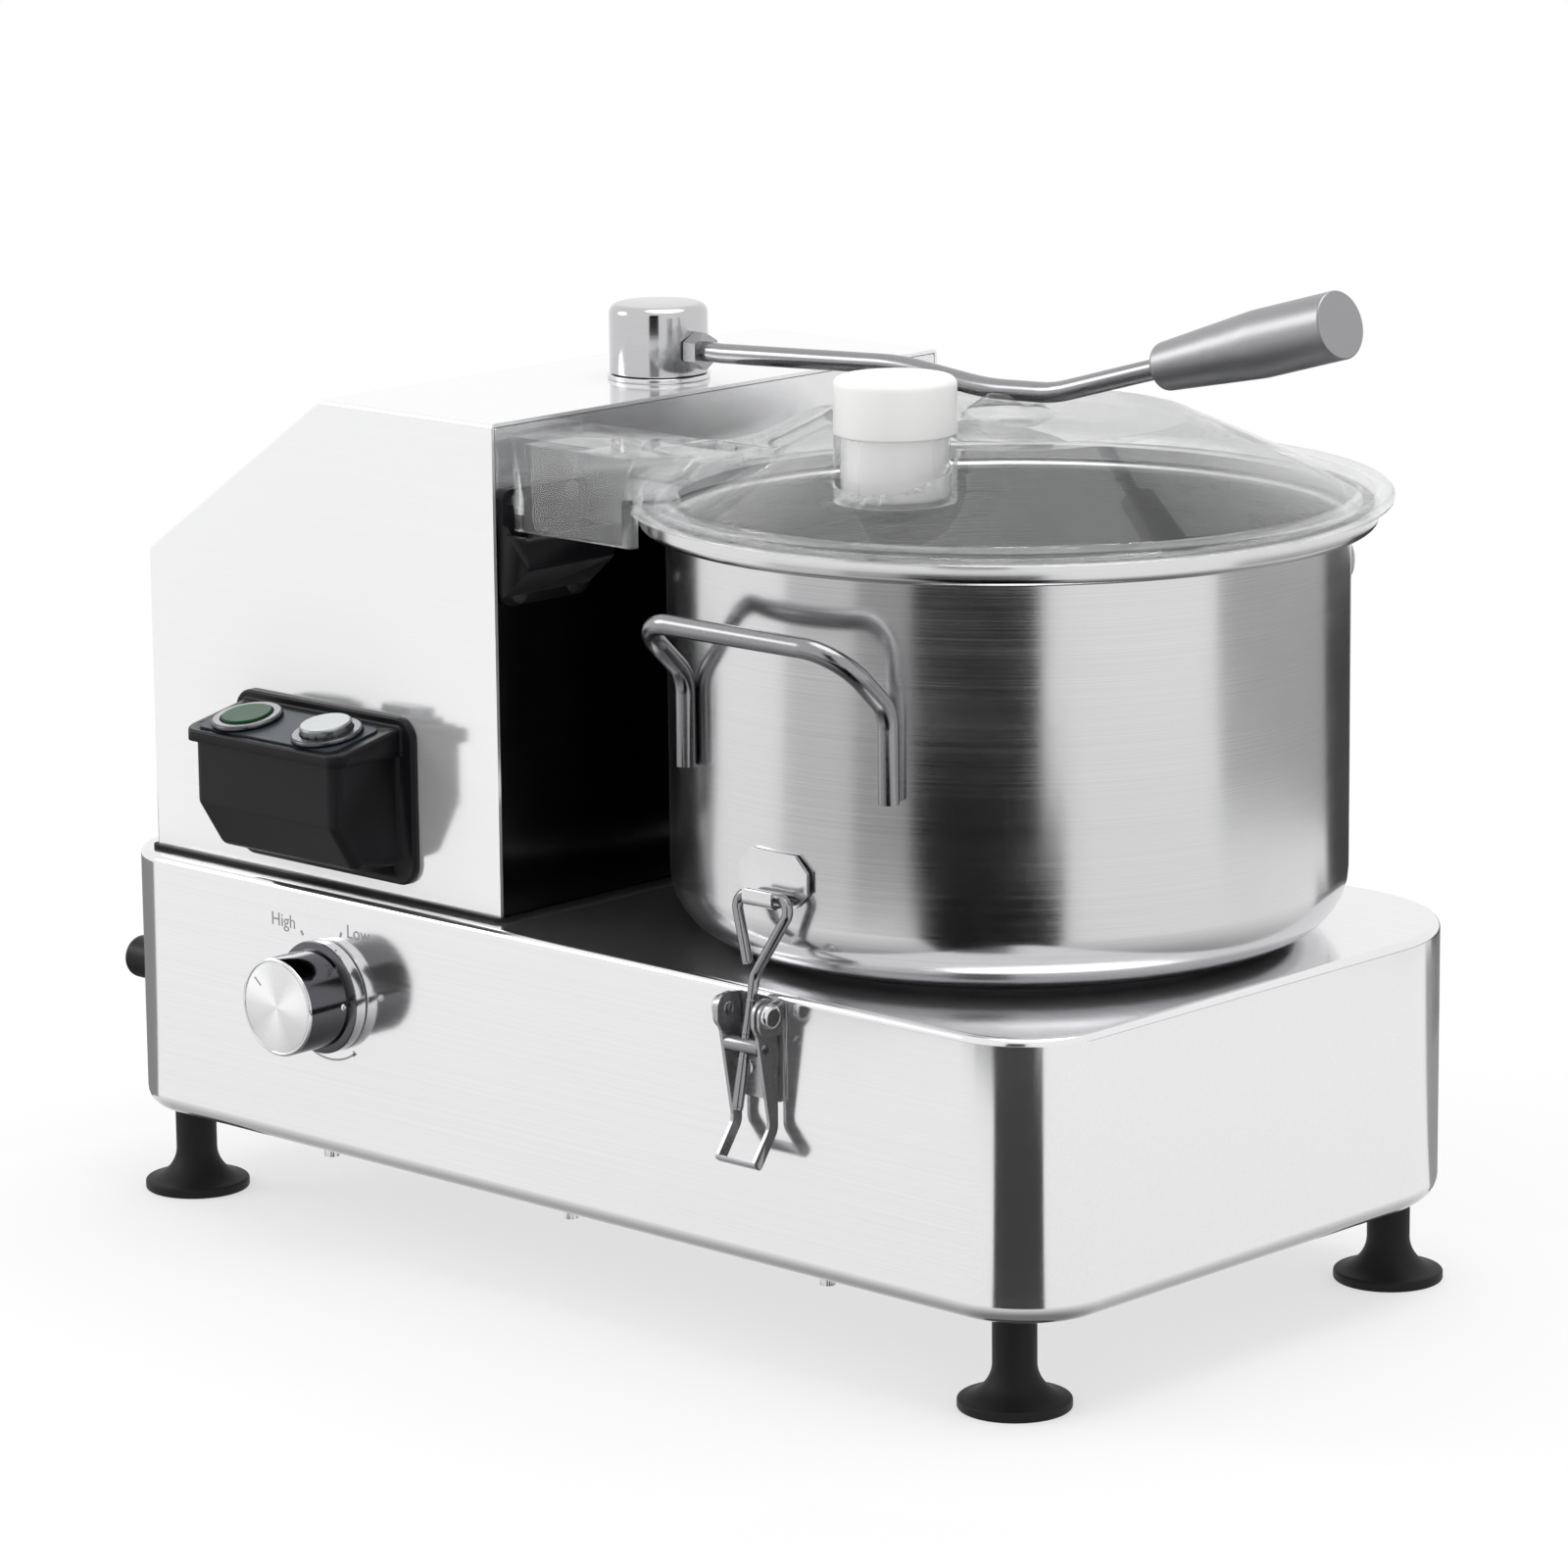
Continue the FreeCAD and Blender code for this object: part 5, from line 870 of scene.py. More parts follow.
class Assembly:
    """A sub-assembly of the machine.

    Attributes:
        PLAIN: The finish of each piece that keeps the shape of its CAD node.
    """

    PLAIN: ClassVar[dict[str, str]] = {}

    def build(self, shop: Workshop) -> None:
        """Builds the shapes of its own, and dresses the plain pieces.

        Args:
            shop: The workshop.
        """
        self.shape_pieces(shop)
        for node, finish in self.PLAIN.items():
            shop.smooth_copy(node, finish)

    def shape_pieces(self, shop: Workshop) -> None:
        """Builds the pieces with shapes of their own, of which a plain sub-assembly has none."""


@dataclass
class Base(Assembly):
    """The low steel base on its four rubber feet."""

    PLAIN = {
        "base_bottom_plate": "steel_polished",
        "cable_gland": "black_moulding",
        "housing_fixings": "steel_bright",
    }

    length: float = 0.511
    width: float = 0.281
    ahead: float = 0.0092
    bottom: float = 0.039
    height: float = 0.1097
    corner: float = 0.036
    far_corner: float = 0.064
    top_round: float = 0.003
    bottom_round: float = 0.008
    wall: float = 0.0015
    foot_at_bowl: float = 0.230
    foot_at_tower: float = -0.227
    foot_y: float = 0.112
    foot_height: float = 0.0387
    foot_radius: float = 0.02175
    foot_rim: float = 0.004
    foot_neck: float = 0.0085
    foot_flare: float = 0.0065
    flare_round: float = 0.013

    def shape_pieces(self, shop: Workshop) -> None:
        """Builds the housing and the feet."""
        self.build_housing(shop)
        self.build_feet(shop)

    def build_housing(self, shop: Workshop) -> None:
        """The drawn housing: a block with round corners, opened below.

        Args:
            shop: The workshop.
        """
        shape = block((self.length, self.width, self.height))
        bmesh.ops.translate(shape, vec=(self.ahead, 0, self.height / 2), verts=shape.verts)
        upright = [edge for edge in shape.edges
                   if abs(edge.verts[0].co.z - edge.verts[1].co.z) > self.height / 2]
        far = [edge for edge in upright if edge.verts[0].co.x > 0.0 and edge.verts[0].co.y > 0.0]
        near = [edge for edge in upright if edge not in far]
        round_off(shape, near, self.corner, 36)
        round_off(shape, far, self.far_corner, 36)
        for level, size, segments in ((self.height, self.top_round, 5), (0.0, self.bottom_round, 7)):
            rim = [edge for edge in shape.edges
                   if all(abs(vert.co.z - level) < MERGE_DISTANCE for vert in edge.verts)
                   and any(abs(face.normal.z) < 0.5 for face in edge.link_faces)]
            round_off(shape, rim, size, segments)
        floor = [face for face in shape.faces
                 if all(abs(vert.co.z) < MERGE_DISTANCE for vert in face.verts)]
        bmesh.ops.delete(shape, geom=floor, context="FACES")
        bmesh.ops.recalc_face_normals(shape, faces=shape.faces)
        if max(shape.faces, key=lambda face: face.calc_center_median().z).normal.z < 0:
            bmesh.ops.reverse_faces(shape, faces=shape.faces)
        move(shape, standing(BASE_X, BASE_Y, self.bottom))
        piece = shop.finish(shape, "base_housing_dressed", "steel_base", "housing", "polished_steel",
                            ["base_housing"], math.radians(40.0))
        thickness = piece.modifiers.new("wall", "SOLIDIFY")
        thickness.thickness = self.wall
        thickness.offset = -1.0
        shop.keep_flat(piece)

    def build_feet(self, shop: Workshop) -> None:
        """Four flared feet.

        Args:
            shop: The workshop.
        """
        profile = [
            Knot(0.0, 0.0),
            Knot(self.foot_radius, 0.0, 0.001),
            Knot(self.foot_radius, self.foot_rim, 0.0012),
            Knot(self.foot_neck, self.foot_flare, self.flare_round),
            Knot(self.foot_neck, self.foot_height),
            Knot(0.0, self.foot_height),
        ]
        for side, y in (("front", -self.foot_y), ("rear", self.foot_y)):
            for end, x in (("right", self.foot_at_bowl), ("left", self.foot_at_tower)):
                shape = move(lathe(profile, steps=72, arc_steps=10), standing(BASE_X + x, BASE_Y + y, 0.0))
                shop.finish(shape, f"foot_{side}_{end}_dressed", "black_rubber", "housing", "black_rubber",
                            [f"foot_{side}_{end}"])


@dataclass
class Tower(Assembly):
    """The motor tower with its front panel, gasket and inner drive."""

    PLAIN = {
        "tower_housing": "steel_polished",
        # The front panel's finish paints a shade on its lower part.
        "tower_front_panel": "steel_tower_front",
        "tower_gasket": "black_rubber",
        "motor_body": "cast_alloy",
        "motor_end_cap": "dark_paint",
        "motor_plate": "steel_satin",
        "motor_shaft": "steel_bright",
        "motor_pulley": "cast_alloy",
        "drive_belt": "black_rubber",
        "driven_pulley": "cast_alloy",
        "drive_shaft": "steel_bright",
        "bearing_housing": "cast_alloy",
        "shaft_bearings": "steel_bright",
        "speed_control_board": "board_green",
        "shaft_seal": "black_rubber",
        "safety_switch": "black_moulding",
        "speed_control": "dark_paint",
        "knob_shaft": "steel_bright",
    }


@dataclass
class Controls(Assembly):
    """The button box and the speed knob with its printed scale."""

    PLAIN = {
        "control_box": "black_moulding",
        "control_panel": "panel_blue_grey",
        "start_button_bezel": "dark_ring",
        "stop_button_bezel": "dark_ring",
        "start_button": "green_cap",
        "stop_button": "silver_cap",
    }

    knob_radius: float = 0.020
    knob_length: float = 0.028
    knob_bore: float = 0.0031
    ring_radius: float = 0.023
    ring_thickness: float = 0.006
    ring_shoulder: float = 0.0008
    ring_round: float = 0.0006
    wall_gap: float = 0.0004
    rim_width: float = 0.0014
    rim_round: float = 0.0010
    rim_band: float = 0.0012
    face_sunk: float = 0.0005
    disc_gap: float = 0.0003
    disc_front: float = 0.0002
    disc_back: float = 0.0006
    band_start: float = 0.0048
    index_size: Point = (0.0006, 0.0002, 0.0045)
    index_turn: float = math.radians(-50.0)
    index_lift: float = 0.00018
    screw_radius: float = 0.0015
    screw_slot: float = 0.0007
    screw_depth: float = 0.0016
    screw_rise: float = 0.0002
    screw_dome: float = 0.0005
    screw_out: float = 0.004
    scale_radius: float = 0.0262
    scale_width: float = 0.0008
    scale_start: float = math.radians(-128.0)
    scale_turn: float = math.radians(72.0)
    arrow_radius: float = 0.0016
    tick_length: float = 0.0022
    tick_width: float = 0.0011
    tick_out: float = 0.0012
    ticks: tuple[tuple[str, float], ...] = (("high", 122.0), ("low", 72.0))
    print_height: float = 0.00004
    letter_size: float = 0.0078
    letter_depth: float = 0.00003
    words: tuple[tuple[str, float, float], ...] = (("High", -0.1375, 0.1335), ("Low", -0.0934, 0.1348))

    def shape_pieces(self, shop: Workshop) -> None:
        """Builds the knob and prints its scale."""
        self.build_knob(shop)
        self.build_face(shop)
        self.add_grub_screw(shop)
        self.print_arrow(shop)
        self.print_ticks(shop)
        self.print_words(shop)

    def build_knob(self, shop: Workshop) -> None:
        """The chromed body with a bright band at its foot and at its rim.

        Args:
            shop: The workshop.
        """
        face_radius = self.knob_radius - self.rim_width
        floor = self.knob_length - self.face_sunk
        body = lathe([
            Knot(self.knob_bore, self.wall_gap),
            Knot(self.ring_radius, self.wall_gap, self.ring_round),
            Knot(self.ring_radius, self.ring_thickness, self.ring_round),
            Knot(self.knob_radius, self.ring_thickness + self.ring_shoulder),
            Knot(self.knob_radius, self.knob_length, self.rim_round),
            Knot(face_radius, self.knob_length, 0.0003),
            Knot(face_radius, floor),
            Knot(0.0, floor),
        ], steps=128, arc_steps=5)
        move(body, facing(KNOB_X, SIDE_Y, KNOB_Z, TO_FRONT))
        knob = shop.finish(body, "speed_knob_dressed", "chrome", "speed_knob", "chrome", ["speed_knob"])
        knob.data.materials.append(shop.palette.materials["chrome_band"])
        for polygon in knob.data.polygons:
            out = SIDE_Y - polygon.center.y
            if out < self.band_start or out > self.knob_length - self.rim_band:
                polygon.material_index = 1

    def build_face(self, shop: Workshop) -> None:
        """The knob's spun face with its index line.

        Args:
            shop: The workshop.
        """
        disc_radius = self.knob_radius - self.rim_width - self.disc_gap
        disc = lathe([
            Knot(0.0, self.knob_length - self.disc_front),
            Knot(disc_radius, self.knob_length - self.disc_front, 0.0001),
            Knot(disc_radius, self.knob_length - self.disc_back),
            Knot(0.0, self.knob_length - self.disc_back),
        ], steps=128, arc_steps=2)
        move(disc, facing(KNOB_X, SIDE_Y, KNOB_Z, TO_FRONT))
        # Its finish paints bright sectors on it as highlights.
        face = shop.finish(disc, "speed_knob_face", "knob_face", "speed_knob", "chrome")
        shop.give_uv_around(face, Vector((KNOB_X, SIDE_Y, KNOB_Z)), TO_FRONT)
        line = block(self.index_size)
        centre = self.knob_radius - self.rim_width - self.index_size[2]
        move(line, Matrix.Rotation(self.index_turn, 4, "Y") @ standing(0.0, 0.0, centre))
        move(line, standing(KNOB_X, SIDE_Y - self.knob_length + self.index_lift, KNOB_Z))
        shop.finish(line, "speed_knob_index", "print_grey", "speed_knob", "chrome")

    def add_grub_screw(self, shop: Workshop) -> None:
        """The domed screw in the knob's flank that grips the shaft.

        Args:
            shop: The workshop.
        """
        screw = lathe([
            Knot(0.0, -self.screw_depth),
            Knot(self.screw_radius, -self.screw_depth),
            Knot(self.screw_radius, self.screw_rise, 0.0001),
            Knot(self.screw_slot, self.screw_dome),
            Knot(0.0, self.screw_rise),
        ], steps=32, arc_steps=3)
        out = self.ring_thickness + self.screw_out
        move(screw, facing(KNOB_X + self.knob_radius, SIDE_Y - out, KNOB_Z, (1.0, 0.0, 0.0)))
        shop.finish(screw, "speed_knob_screw", "chrome_band", "speed_knob", "chrome")

    def print_arrow(self, shop: Workshop) -> None:
        """The printed arc with its arrow below the knob.

        Args:
            shop: The workshop.
        """
        centre = Vector((KNOB_X, SIDE_Y - self.print_height, KNOB_Z))
        along = Vector((math.cos(self.scale_start), 0.0, math.sin(self.scale_start)))
        arc = band(centre + along * self.scale_radius, centre + along * (self.scale_radius + self.scale_width),
                   centre, TO_FRONT, self.scale_turn, 24)
        end = self.scale_start + self.scale_turn
        head = bmesh.ops.create_circle(arc, cap_ends=True, segments=3, radius=self.arrow_radius)["verts"]
        tip = Vector((math.cos(end), 0.0, math.sin(end))) * (self.scale_radius + self.scale_width / 2)
        turn = Matrix.Rotation(-end - math.radians(90.0), 4, "Y") @ Matrix.Rotation(math.radians(90.0), 4, "X")
        bmesh.ops.transform(arc, matrix=Matrix.Translation(centre + tip) @ turn, verts=head)
        bmesh.ops.recalc_face_normals(arc, faces=arc.faces)
        shop.finish(arc, "speed_scale_arrow", "print_grey", "housing", "black_plastic")

    def print_ticks(self, shop: Workshop) -> None:
        """The printed tick below each word.

        Args:
            shop: The workshop.
        """
        for name, angle in self.ticks:
            tick = block((self.tick_length, self.print_height, self.tick_width))
            turn = Matrix.Rotation(math.radians(-angle), 4, "Y")
            move(tick, turn @ standing(self.scale_radius + self.tick_out, 0.0, 0.0))
            move(tick, standing(KNOB_X, SIDE_Y - self.print_height, KNOB_Z))
            shop.finish(tick, f"speed_scale_tick_{name}", "print_grey", "housing", "black_plastic")

    def print_words(self, shop: Workshop) -> None:
        """The words at the two ends of the knob's travel.

        Args:
            shop: The workshop.
        """
        for word, x, z in self.words:
            name = f"word_{word.lower()}"
            letters = bpy.data.curves.new(name, "FONT")
            letters.body = word
            letters.size = self.letter_size
            letters.align_x = "CENTER"
            letters.align_y = "CENTER"
            letters.extrude = self.letter_depth
            text = into_scene(f"{name}_curve", letters)
            bpy.context.view_layer.update()
            mesh = bpy.data.meshes.new_from_object(text)
            bpy.data.objects.remove(text)
            shape = bmesh.new()
            shape.from_mesh(mesh)
            upright = Matrix.Rotation(math.radians(90.0), 4, "X")
            move(shape, standing(BASE_X + x, SIDE_Y - self.print_height, z) @ upright)
            shop.finish(shape, name, "print_grey", "housing", "black_plastic")


@dataclass
class Bowl(Assembly):
    """The steel bowl with its wire handles and the ring that it stands on."""

    PLAIN = {
        "bowl_handle_front": "steel_wire",
        "bowl_handle_rear": "steel_wire",
        "bowl_seat_ring": "grey_rubber",
    }

    radius: float = 0.132
    wall: float = 0.0015
    bottom_round: float = 0.024
    step: float = 0.1585
    collar_radius: float = 0.1426
    collar_height: float = 0.008
    collar_round: float = 0.003
    rim_round: float = 0.0004
    tube_radius: float = 0.016
    tube_height: float = 0.045

    def shape_pieces(self, shop: Workshop) -> None:
        """Spins the bowl, with its collar above and its tube in the middle."""
        inner = self.radius - self.wall
        tube_inner = self.tube_radius - self.wall
        collar_inner = self.collar_radius - self.wall
        rim = self.step + self.collar_height
        shape = lathe([
            Knot(tube_inner, 0.0),
            Knot(self.radius, 0.0, self.bottom_round),
            Knot(self.radius, self.step, self.collar_round - self.wall),
            Knot(self.collar_radius, self.step, self.collar_round),
            Knot(self.collar_radius, rim, self.rim_round),
            Knot(collar_inner, rim, self.rim_round),
            Knot(collar_inner, self.step + self.wall, self.collar_round - self.wall),
            Knot(inner, self.step + self.wall, self.collar_round),
            Knot(inner, self.wall, self.bottom_round - self.wall),
            Knot(self.tube_radius, self.wall),
            Knot(self.tube_radius, self.tube_height),
            Knot(tube_inner, self.tube_height),
        ], closed=True, steps=256, arc_steps=8)
        move(shape, standing(BOWL_X, BASE_Y, BOWL_BOTTOM_Z))
        piece = shop.finish(shape, "bowl_dressed", "steel_bowl", "housing", "steel", ["bowl"])
        shop.give_uv_around(piece, Vector((BOWL_X, BASE_Y, 0.0)), UP)
        self.paint_bowl_inside_shade(shop, piece)

    def paint_bowl_inside_shade(self, shop: Workshop, piece: bpy.types.Object) -> None:
        """Gives the bowl's inside a rougher finish, and a darker colour that is a painted shade for the shade
        inside the covered bowl.

        Args:
            shop: The workshop.
            piece: The bowl.
        """
        # The inside faces take the finish with the painted shade.
        piece.data.materials.append(shop.palette.materials["steel_bowl_inside_painted_shade"])
        middle = self.radius - self.wall / 2
        for polygon in piece.data.polygons:
            radius = math.hypot(polygon.center.x - BOWL_X, polygon.center.y - BASE_Y)
            above_floor = polygon.center.z > BOWL_BOTTOM_Z + self.wall * 0.9
            if above_floor and radius < middle and polygon.center.z < BOWL_BOTTOM_Z + self.step:
                inward = Vector((BOWL_X - polygon.center.x, BASE_Y - polygon.center.y, 0.0)).normalized()
                if polygon.normal.dot(inward) > 0.1 or polygon.normal.z > 0.5:
                    polygon.material_index = 1


@dataclass
class Latches(Assembly):
    """The two draw latches, with the threads on their rods."""

    PLAIN = {
        "catch_plate_front": "steel_bright",
        "latch_bracket_front": "steel_latch",
        "latch_lever_front": "steel_latch",
        "latch_crossbar_front": "steel_wire",
        "latch_hook_front": "steel_wire",
        "catch_plate_rear": "steel_bright",
        "latch_bracket_rear": "steel_latch",
        "latch_lever_rear": "steel_latch",
        "latch_crossbar_rear": "steel_wire",
        "latch_hook_rear": "steel_wire",
        "latch_fixings": "steel_bright",
    }

    rod_out: float = 0.1493
    rod_level: float = 0.129
    rod_lean: float = 0.2
    thread_radius: float = 0.00235
    thread_root: float = 0.00206
    thread_pitch: float = 0.0009
    thread_low: float = -0.0236
    thread_high: float = 0.018
    bar_half: float = 0.0040

    def shape_pieces(self, shop: Workshop) -> None:
        """Cuts the threads above and below each crossbar."""
        for side, sign in (("front", -1.0), ("rear", 1.0)):
            self.cut_thread(shop, side, sign, self.thread_low, -self.bar_half, "low")
            self.cut_thread(shop, side, sign, self.bar_half, self.thread_high, "high")

    def cut_thread(self, shop: Workshop, side: str, sign: float, low: float, high: float, part: str) -> None:
        """Adds the ridges of one threaded length of a rod.

        Args:
            shop: The workshop.
            side: Name of the latch.
            sign: Its side of the machine along Y.
            low: Lower end, measured from the crossbar.
            high: Upper end.
            part: Name of the length.
        """
        count = int((high - low) / self.thread_pitch)
        knots = [Knot(0.0, low)]
        for turn in range(count):
            start = low + turn * self.thread_pitch
            knots.append(Knot(self.thread_root, start))
            knots.append(Knot(self.thread_radius, start + self.thread_pitch / 2))
        end = low + count * self.thread_pitch
        knots += [Knot(self.thread_root, end), Knot(0.0, end)]
        place = facing(BOWL_X, BASE_Y + sign * self.rod_out, self.rod_level, (0.0, -sign * self.rod_lean, 1.0))
        shape = move(lathe(knots, steps=24, arc_steps=1), place)
        shop.finish(shape, f"latch_thread_{side}_{part}", "steel_wire", f"latch_hook_{side}", "polished_steel",
                    angle=math.radians(80.0))


@dataclass
class Lid(Assembly):
    """The clear lid with its seal, its bracket and the food pusher."""

    PLAIN = {
        "lid": "clear_lid",
        "lid_seal": "grey_rubber",
        "lid_bracket": "black_moulding",
    }

    tube_x: float = 0.012
    tube_y: float = 0.0772
    tube_top: float = 0.0363
    stem_radius: float = 0.0203
    stem_length: float = 0.024
    stem_wall: float = 0.003
    stem_round: float = 0.0014
    cap_radius: float = 0.0233
    cap_height: float = 0.0215
    cap_inside: float = 0.0185
    cap_lip: float = 0.0008
    cap_round: float = 0.003
    rest_gap: float = 0.0003

    def shape_pieces(self, shop: Workshop) -> None:
        """Turns the food pusher: a cap over a hollow stem."""
        bore = self.stem_radius - self.stem_wall
        shape = lathe([
            Knot(0.0, self.cap_inside),
            Knot(bore, self.cap_inside),
            Knot(bore, -self.stem_length),
            Knot(self.stem_radius, -self.stem_length, self.stem_round),
            Knot(self.stem_radius, 0.0),
            Knot(self.cap_radius, 0.0, self.cap_lip),
            Knot(self.cap_radius, self.cap_height, self.cap_round),
            Knot(0.0, self.cap_height),
        ], steps=128, arc_steps=7)
        top = LID_BOTTOM_Z + self.tube_top + self.rest_gap
        move(shape, standing(BOWL_X + self.tube_x, BASE_Y - self.tube_y, top))
        shop.finish(shape, "plunger_dressed", "white_nylon", "plunger", "white_nylon", ["plunger"])


@dataclass
class Arm(Assembly):
    """The swing arm that holds the lid down."""

    PLAIN = {
        "arm_post": "steel_bright",
        "arm_nut": "steel_latch",
        "arm_rod": "steel_wire",
    }

    cap_bore: float = 0.00805
    cap_radius: float = 0.020
    cap_foot: float = 0.0023
    cap_top: float = 0.0303
    cap_lip: float = 0.0008
    cap_round: float = 0.004
    grip_tilt: float = math.radians(15.7)

    def shape_pieces(self, shop: Workshop) -> None:
        """Turns the cap over the post, and dresses the grip along its slanting axis."""
        cap = lathe([
            Knot(self.cap_bore, self.cap_foot),
            Knot(self.cap_radius, self.cap_foot, self.cap_lip),
            Knot(self.cap_radius, self.cap_top, self.cap_round),
            Knot(0.0, self.cap_top),
        ], steps=128, arc_steps=8)
        move(cap, standing(POST_X, BASE_Y, TOWER_TOP_Z))
        piece = shop.finish(cap, "arm_cap_dressed", "steel_cap", "arm", "polished_steel", ["arm_cap"])
        shop.give_uv_around(piece, Vector((POST_X, BASE_Y, 0.0)), UP)
        grip = shop.smooth_copy("arm_grip", "grip_satin")
        low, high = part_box("arm_grip")
        along = (math.cos(self.grip_tilt), 0.0, math.sin(self.grip_tilt))
        shop.give_uv_around(grip, (low + high) / 2, along)


@dataclass
class Cutter(Assembly):
    """The hub and its two blades."""

    PLAIN = {
        "blade_hub": "white_nylon",
        "blade_lower": "blade_steel",
        "blade_upper": "blade_steel",
    }


@dataclass(frozen=True)
class Card:
    """A dark card that stands round the object and shows only in its reflections.

    Attributes:
        name: Name of the card.
        bearing: Direction from the object in degrees, from +X towards +Y.
        width: Angle that it covers, in degrees.
        distance: How far away it stands.
        low: Its lower edge.
        high: Its upper edge.
        shade: Brightness that its face shows.
    """

    name: str
    bearing: float
    width: float
    distance: float
    low: float
    high: float
    shade: float

    def surface(self) -> bmesh.types.BMesh:
        """The card's upright arc."""
        start = math.radians(self.bearing - self.width / 2)
        x, y = self.distance * math.cos(start), self.distance * math.sin(start)
        return band(Vector((x, y, self.low)), Vector((x, y, self.high)), Vector(), UP,
                    math.radians(self.width), 16)


@dataclass(frozen=True)
class FloorSheet:
    """A dark sheet on the floor, which shows only in the object's reflections.

    Attributes:
        name: Name of the sheet.
        x: Centre of its sector.
        y: Centre of its sector.
        start: First bearing in degrees, from +X towards +Y.
        end: Last bearing in degrees.
        inner: Inner radius.
        outer: Outer radius.
        shade: Brightness that its face shows.
        level: Height over the floor.
    """

    name: str
    x: float
    y: float
    start: float
    end: float
    inner: float
    outer: float
    shade: float
    level: float = 0.001

    def surface(self) -> bmesh.types.BMesh:
        """The sheet's sector of a ring."""
        start = math.radians(self.start)
        along = Vector((math.cos(start), math.sin(start), 0.0))
        centre = Vector((self.x, self.y, self.level))
        return band(centre + along * self.inner, centre + along * self.outer, centre, UP,
                    math.radians(self.end - self.start), 24)


@dataclass(frozen=True)
class Lamp:
    """A soft round lamp.

    Attributes:
        name: Name of the lamp.
        place: Where it hangs.
        target: What it points at.
        size: Its diameter.
        power: Its power in watts.
    """

    name: str
    place: Point
    target: Point
    size: float
    power: float

    def build(self) -> None:
        """Hangs the lamp, turned to its target."""
        light = bpy.data.lights.new(self.name, "AREA")
        light.shape = "DISK"
        light.size = self.size
        light.energy = self.power
        direction = Vector(self.target) - Vector(self.place)
        turn = direction.to_track_quat("-Z", "Y").to_matrix().to_4x4()
        into_scene(self.name, light).matrix_world = Matrix.Translation(self.place) @ turn


@dataclass
class Studio:
    """The floor, the world, the lamps, the dark cards and the camera."""

    azimuth: float = math.radians(43.49)
    elevation: float = math.radians(12.26)
    roll: float = math.radians(-0.58)
    position: Point = (1.7675, -1.8544, 0.7430)
    lens: float = 149.43
    film_width: float = 36.0
    near_limit: float = 0.01
    world_dimmed: float = 0.75
    floor_radius: float = 12.0
    floor_shade: float = 0.94
    glow_share: float = 0.55
    glow_start: float = 0.30
    glow_end: float = 0.75
    mirrored_steep: float = 0.16
    steep_facing: float = 0.10
    flat_facing: float = 0.76
    lamps: tuple[Lamp, ...] = (
        Lamp("lamp_overhead", (0.3, 0.2, 2.6), (0.1, 0.0, 0.2), 2.2, 26.0),
        Lamp("lamp_left", (-2.4, -1.6, 1.5), (0.0, 0.0, 0.2), 1.4, 16.0),
    )
    cards: tuple[Card, ...] = (
        Card("card_behind_camera", -57.0, 22.0, 3.2, -0.2, 2.6, 0.02),
    )
    sheets: tuple[FloorSheet, ...] = (
        FloorSheet("sheet_before_corner", BASE_X + 0.2287, BASE_Y - 0.1045, -84.0, -28.0, 0.14, 0.66, 0.0),
        FloorSheet("sheet_before_bowl", BOWL_X, BASE_Y, -79.0, -38.0, 0.66, 1.60, 0.01),
        FloorSheet("sheet_left_of_bowl", BOWL_X, BASE_Y, -125.0, -98.0, 0.66, 1.60, 0.62),
        FloorSheet("sheet_nearly_before_bowl", BOWL_X, BASE_Y, -98.0, -79.0, 0.66, 1.60, 0.34),
        FloorSheet("sheet_right_of_bowl", BOWL_X, BASE_Y, 22.0, 79.0, 0.82, 1.60, 0.42),
        FloorSheet("sheet_behind_bowl", BOWL_X, BASE_Y, 79.0, 117.0, 0.50, 1.60, 0.05),
        FloorSheet("sheet_at_left_corner", BASE_X - 0.2103, BASE_Y - 0.1045, 136.0, 203.0, 0.12, 0.80, 0.22),
        FloorSheet("sheet_at_right_corner", BASE_X + 0.2007, BASE_Y + 0.0765, 74.0, 133.0, 0.12, 0.62, 0.30),
    )

    def build(self) -> None:
        """Sets up the whole studio."""
        bpy.context.scene.view_settings.view_transform = "Standard"
        self.build_world()
        self.build_floor()
        for card in (*self.cards, *self.sheets):
            self.hang(card)
        for lamp in self.lamps:
            lamp.build()
        self.build_camera()

    def build_world(self) -> None:
        """A white world, plain as seen and slightly dimmer as a light."""
        world = bpy.data.worlds.new("white_world")
        bpy.context.scene.world = world
        nodes = NodeTree(world, "ShaderNodeBackground", "ShaderNodeOutputWorld")
        nodes.set(Color=(1.0, 1.0, 1.0, 1.0))
        rays = nodes.add("ShaderNodeLightPath").outputs
        seen = nodes.calculate("MAXIMUM", rays["Is Camera Ray"], rays["Is Glossy Ray"])
        seen = nodes.calculate("MAXIMUM", seen, rays["Is Transmission Ray"])
        nodes.feed(nodes.remap(seen, self.world_dimmed, 1.0, 0.0, 1.0), "Strength")

    def build_floor(self) -> None:
        """A pale floor that keeps the shadow near the object and fades to the world's white."""
        shape = bmesh.new()
        bmesh.ops.create_circle(shape, cap_ends=True, segments=96, radius=self.floor_radius)
        floor = into_scene("floor", into_mesh(shape, "floor"))
        material = bpy.data.materials.new("floor_white")
        nodes = NodeTree(material)
        nodes.set(Base_Color=(self.floor_shade, self.floor_shade, self.floor_shade, 1.0), Roughness=0.9)
        glow = nodes.add("ShaderNodeEmission")
        glow.inputs["Color"].default_value = (1.0, 1.0, 1.0, 1.0)
        distance = nodes.add("ShaderNodeVectorMath", operation="LENGTH")
        nodes.link(nodes.add("ShaderNodeTexCoord").outputs["Object"], distance.inputs[0])
        fade = nodes.remap(distance.outputs["Value"], self.glow_share, 1.0, self.glow_start, self.glow_end)
        plain = nodes.blend_shaders(fade, nodes.shader, glow)
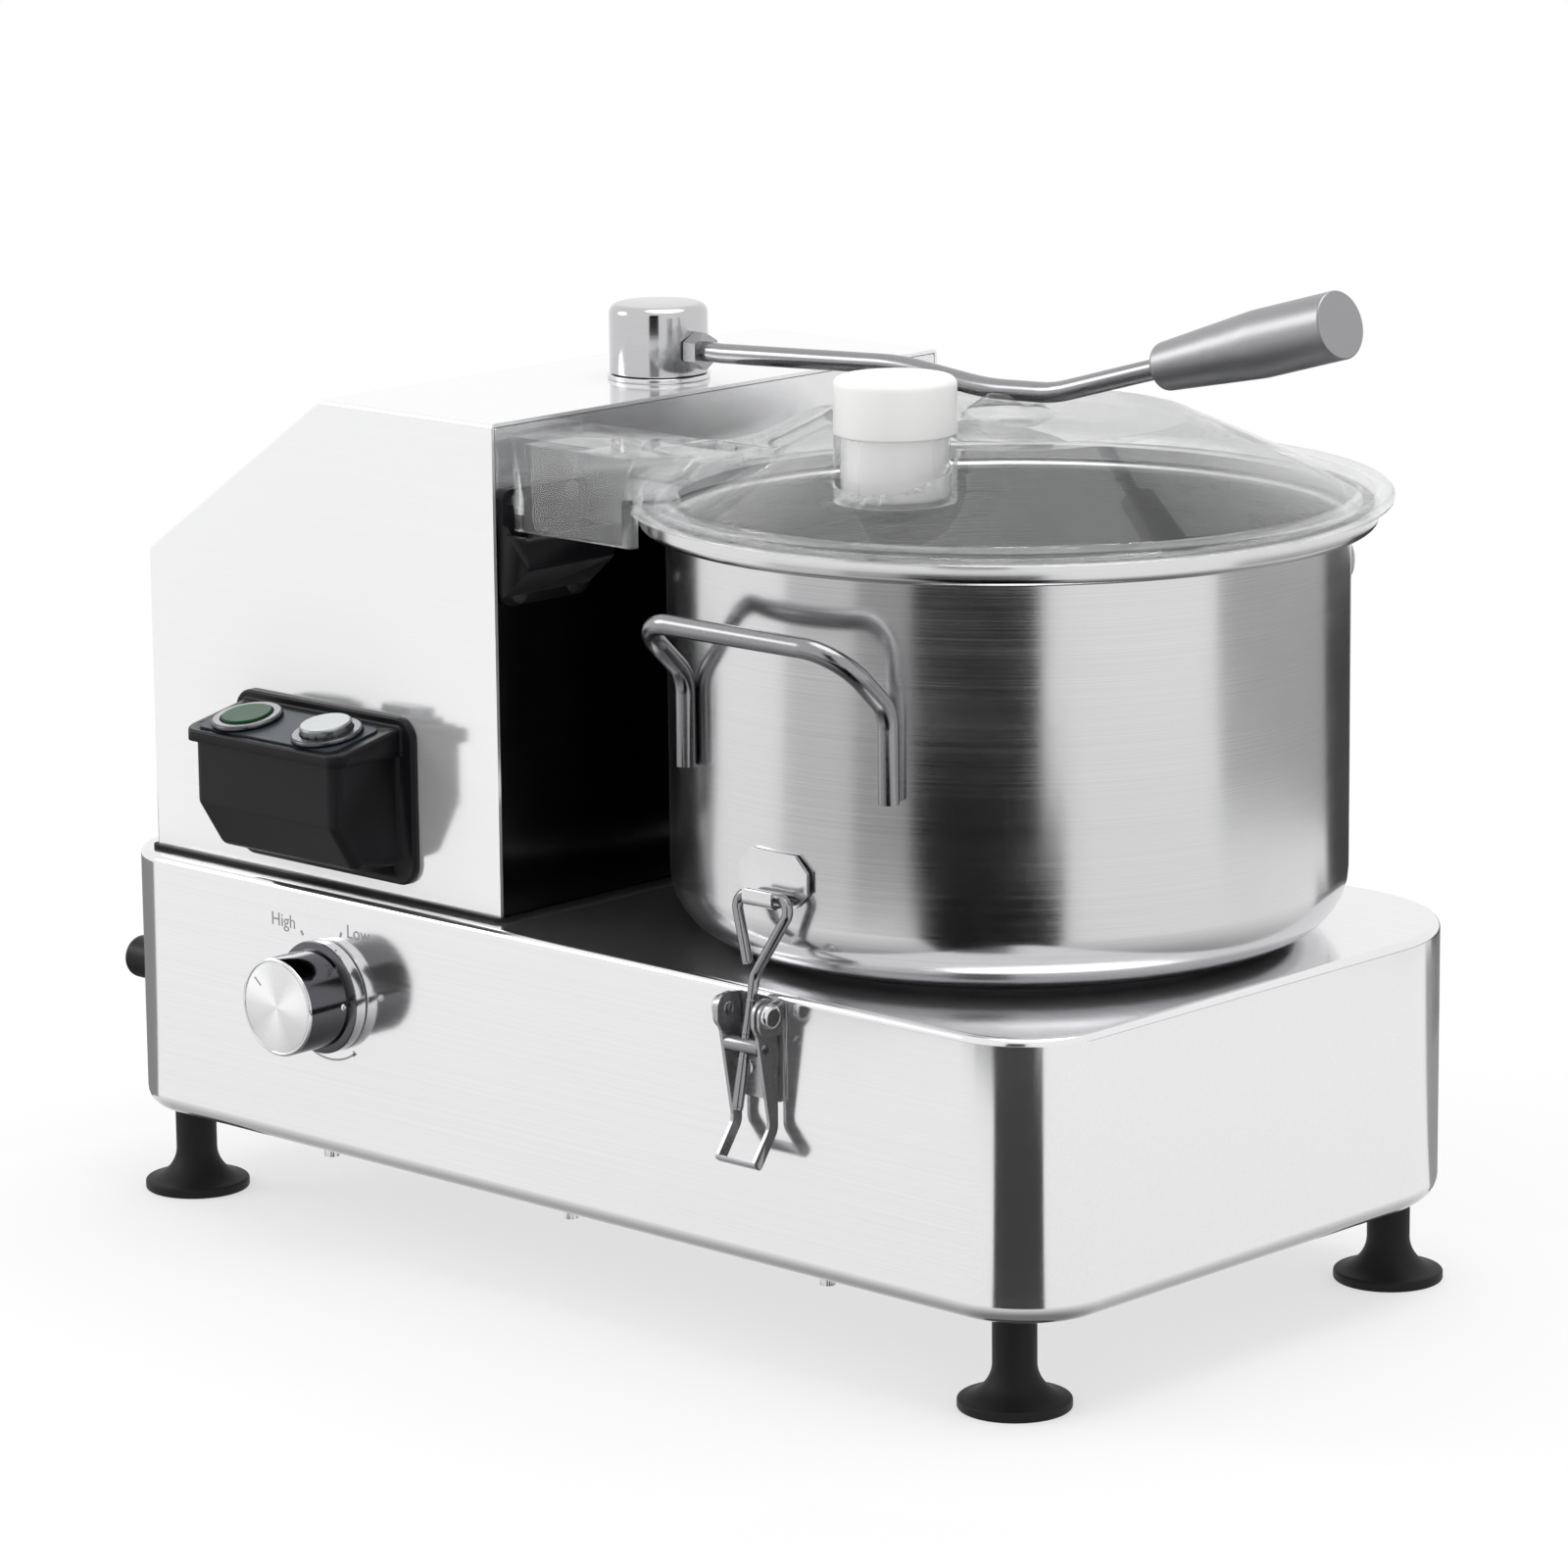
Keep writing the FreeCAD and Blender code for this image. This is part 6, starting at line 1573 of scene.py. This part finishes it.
        # Walls that stand upright mirror the floor near them darker than the floor far away.
        mirrored = nodes.add("ShaderNodeEmission")
        shade = nodes.remap(nodes.facing(0.5), self.mirrored_steep, 1.0, self.steep_facing, self.flat_facing)
        nodes.link(shade, mirrored.inputs["Strength"])
        glossy = nodes.add("ShaderNodeLightPath").outputs["Is Glossy Ray"]
        nodes.show(nodes.blend_shaders(glossy, plain, mirrored))
        floor.data.materials.append(material)

    def hang(self, card: Card | FloorSheet) -> None:
        """Puts a card or sheet in the studio, seen by reflections alone.

        Args:
            card: The card or sheet.
        """
        piece = into_scene(card.name, into_mesh(card.surface(), card.name))
        material = bpy.data.materials.new(card.name)
        NodeTree(material, "ShaderNodeEmission").set(Color=(card.shade, card.shade, card.shade, 1.0))
        piece.data.materials.append(material)
        piece.visible_camera = False
        piece.visible_diffuse = False
        piece.visible_transmission = False
        piece.visible_shadow = False

    def build_camera(self) -> None:
        """Puts the camera where the photograph was taken."""
        data = bpy.data.cameras.new("camera")
        data.lens = self.lens
        data.sensor_width = self.film_width
        data.clip_start = self.near_limit
        camera = into_scene("camera", data)
        back = Vector((math.sin(self.azimuth) * math.cos(self.elevation),
                       -math.cos(self.azimuth) * math.cos(self.elevation), math.sin(self.elevation)))
        right = Vector((math.cos(self.azimuth), math.sin(self.azimuth), 0.0))
        up = back.cross(right)
        turned_right = right * math.cos(self.roll) + up * math.sin(self.roll)
        turned_up = up * math.cos(self.roll) - right * math.sin(self.roll)
        matrix = Matrix((turned_right, turned_up, back)).transposed().to_4x4()
        matrix.translation = Vector(self.position) + Vector((BASE_X, BASE_Y, 0.0))
        camera.matrix_world = matrix
        bpy.context.scene.camera = camera


def main() -> None:
    """Builds the machine and its studio."""
    logging.basicConfig(level=logging.INFO)
    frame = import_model()
    shop = Workshop(frame, Palette())
    for assembly in (Base(), Tower(), Controls(), Bowl(), Latches(), Lid(), Arm(), Cutter()):
        assembly.build(shop)
        LOG.info("built %s", type(assembly).__name__)
    Studio().build()
    bpy.context.view_layer.update()


if __name__ == "__main__":
    main()
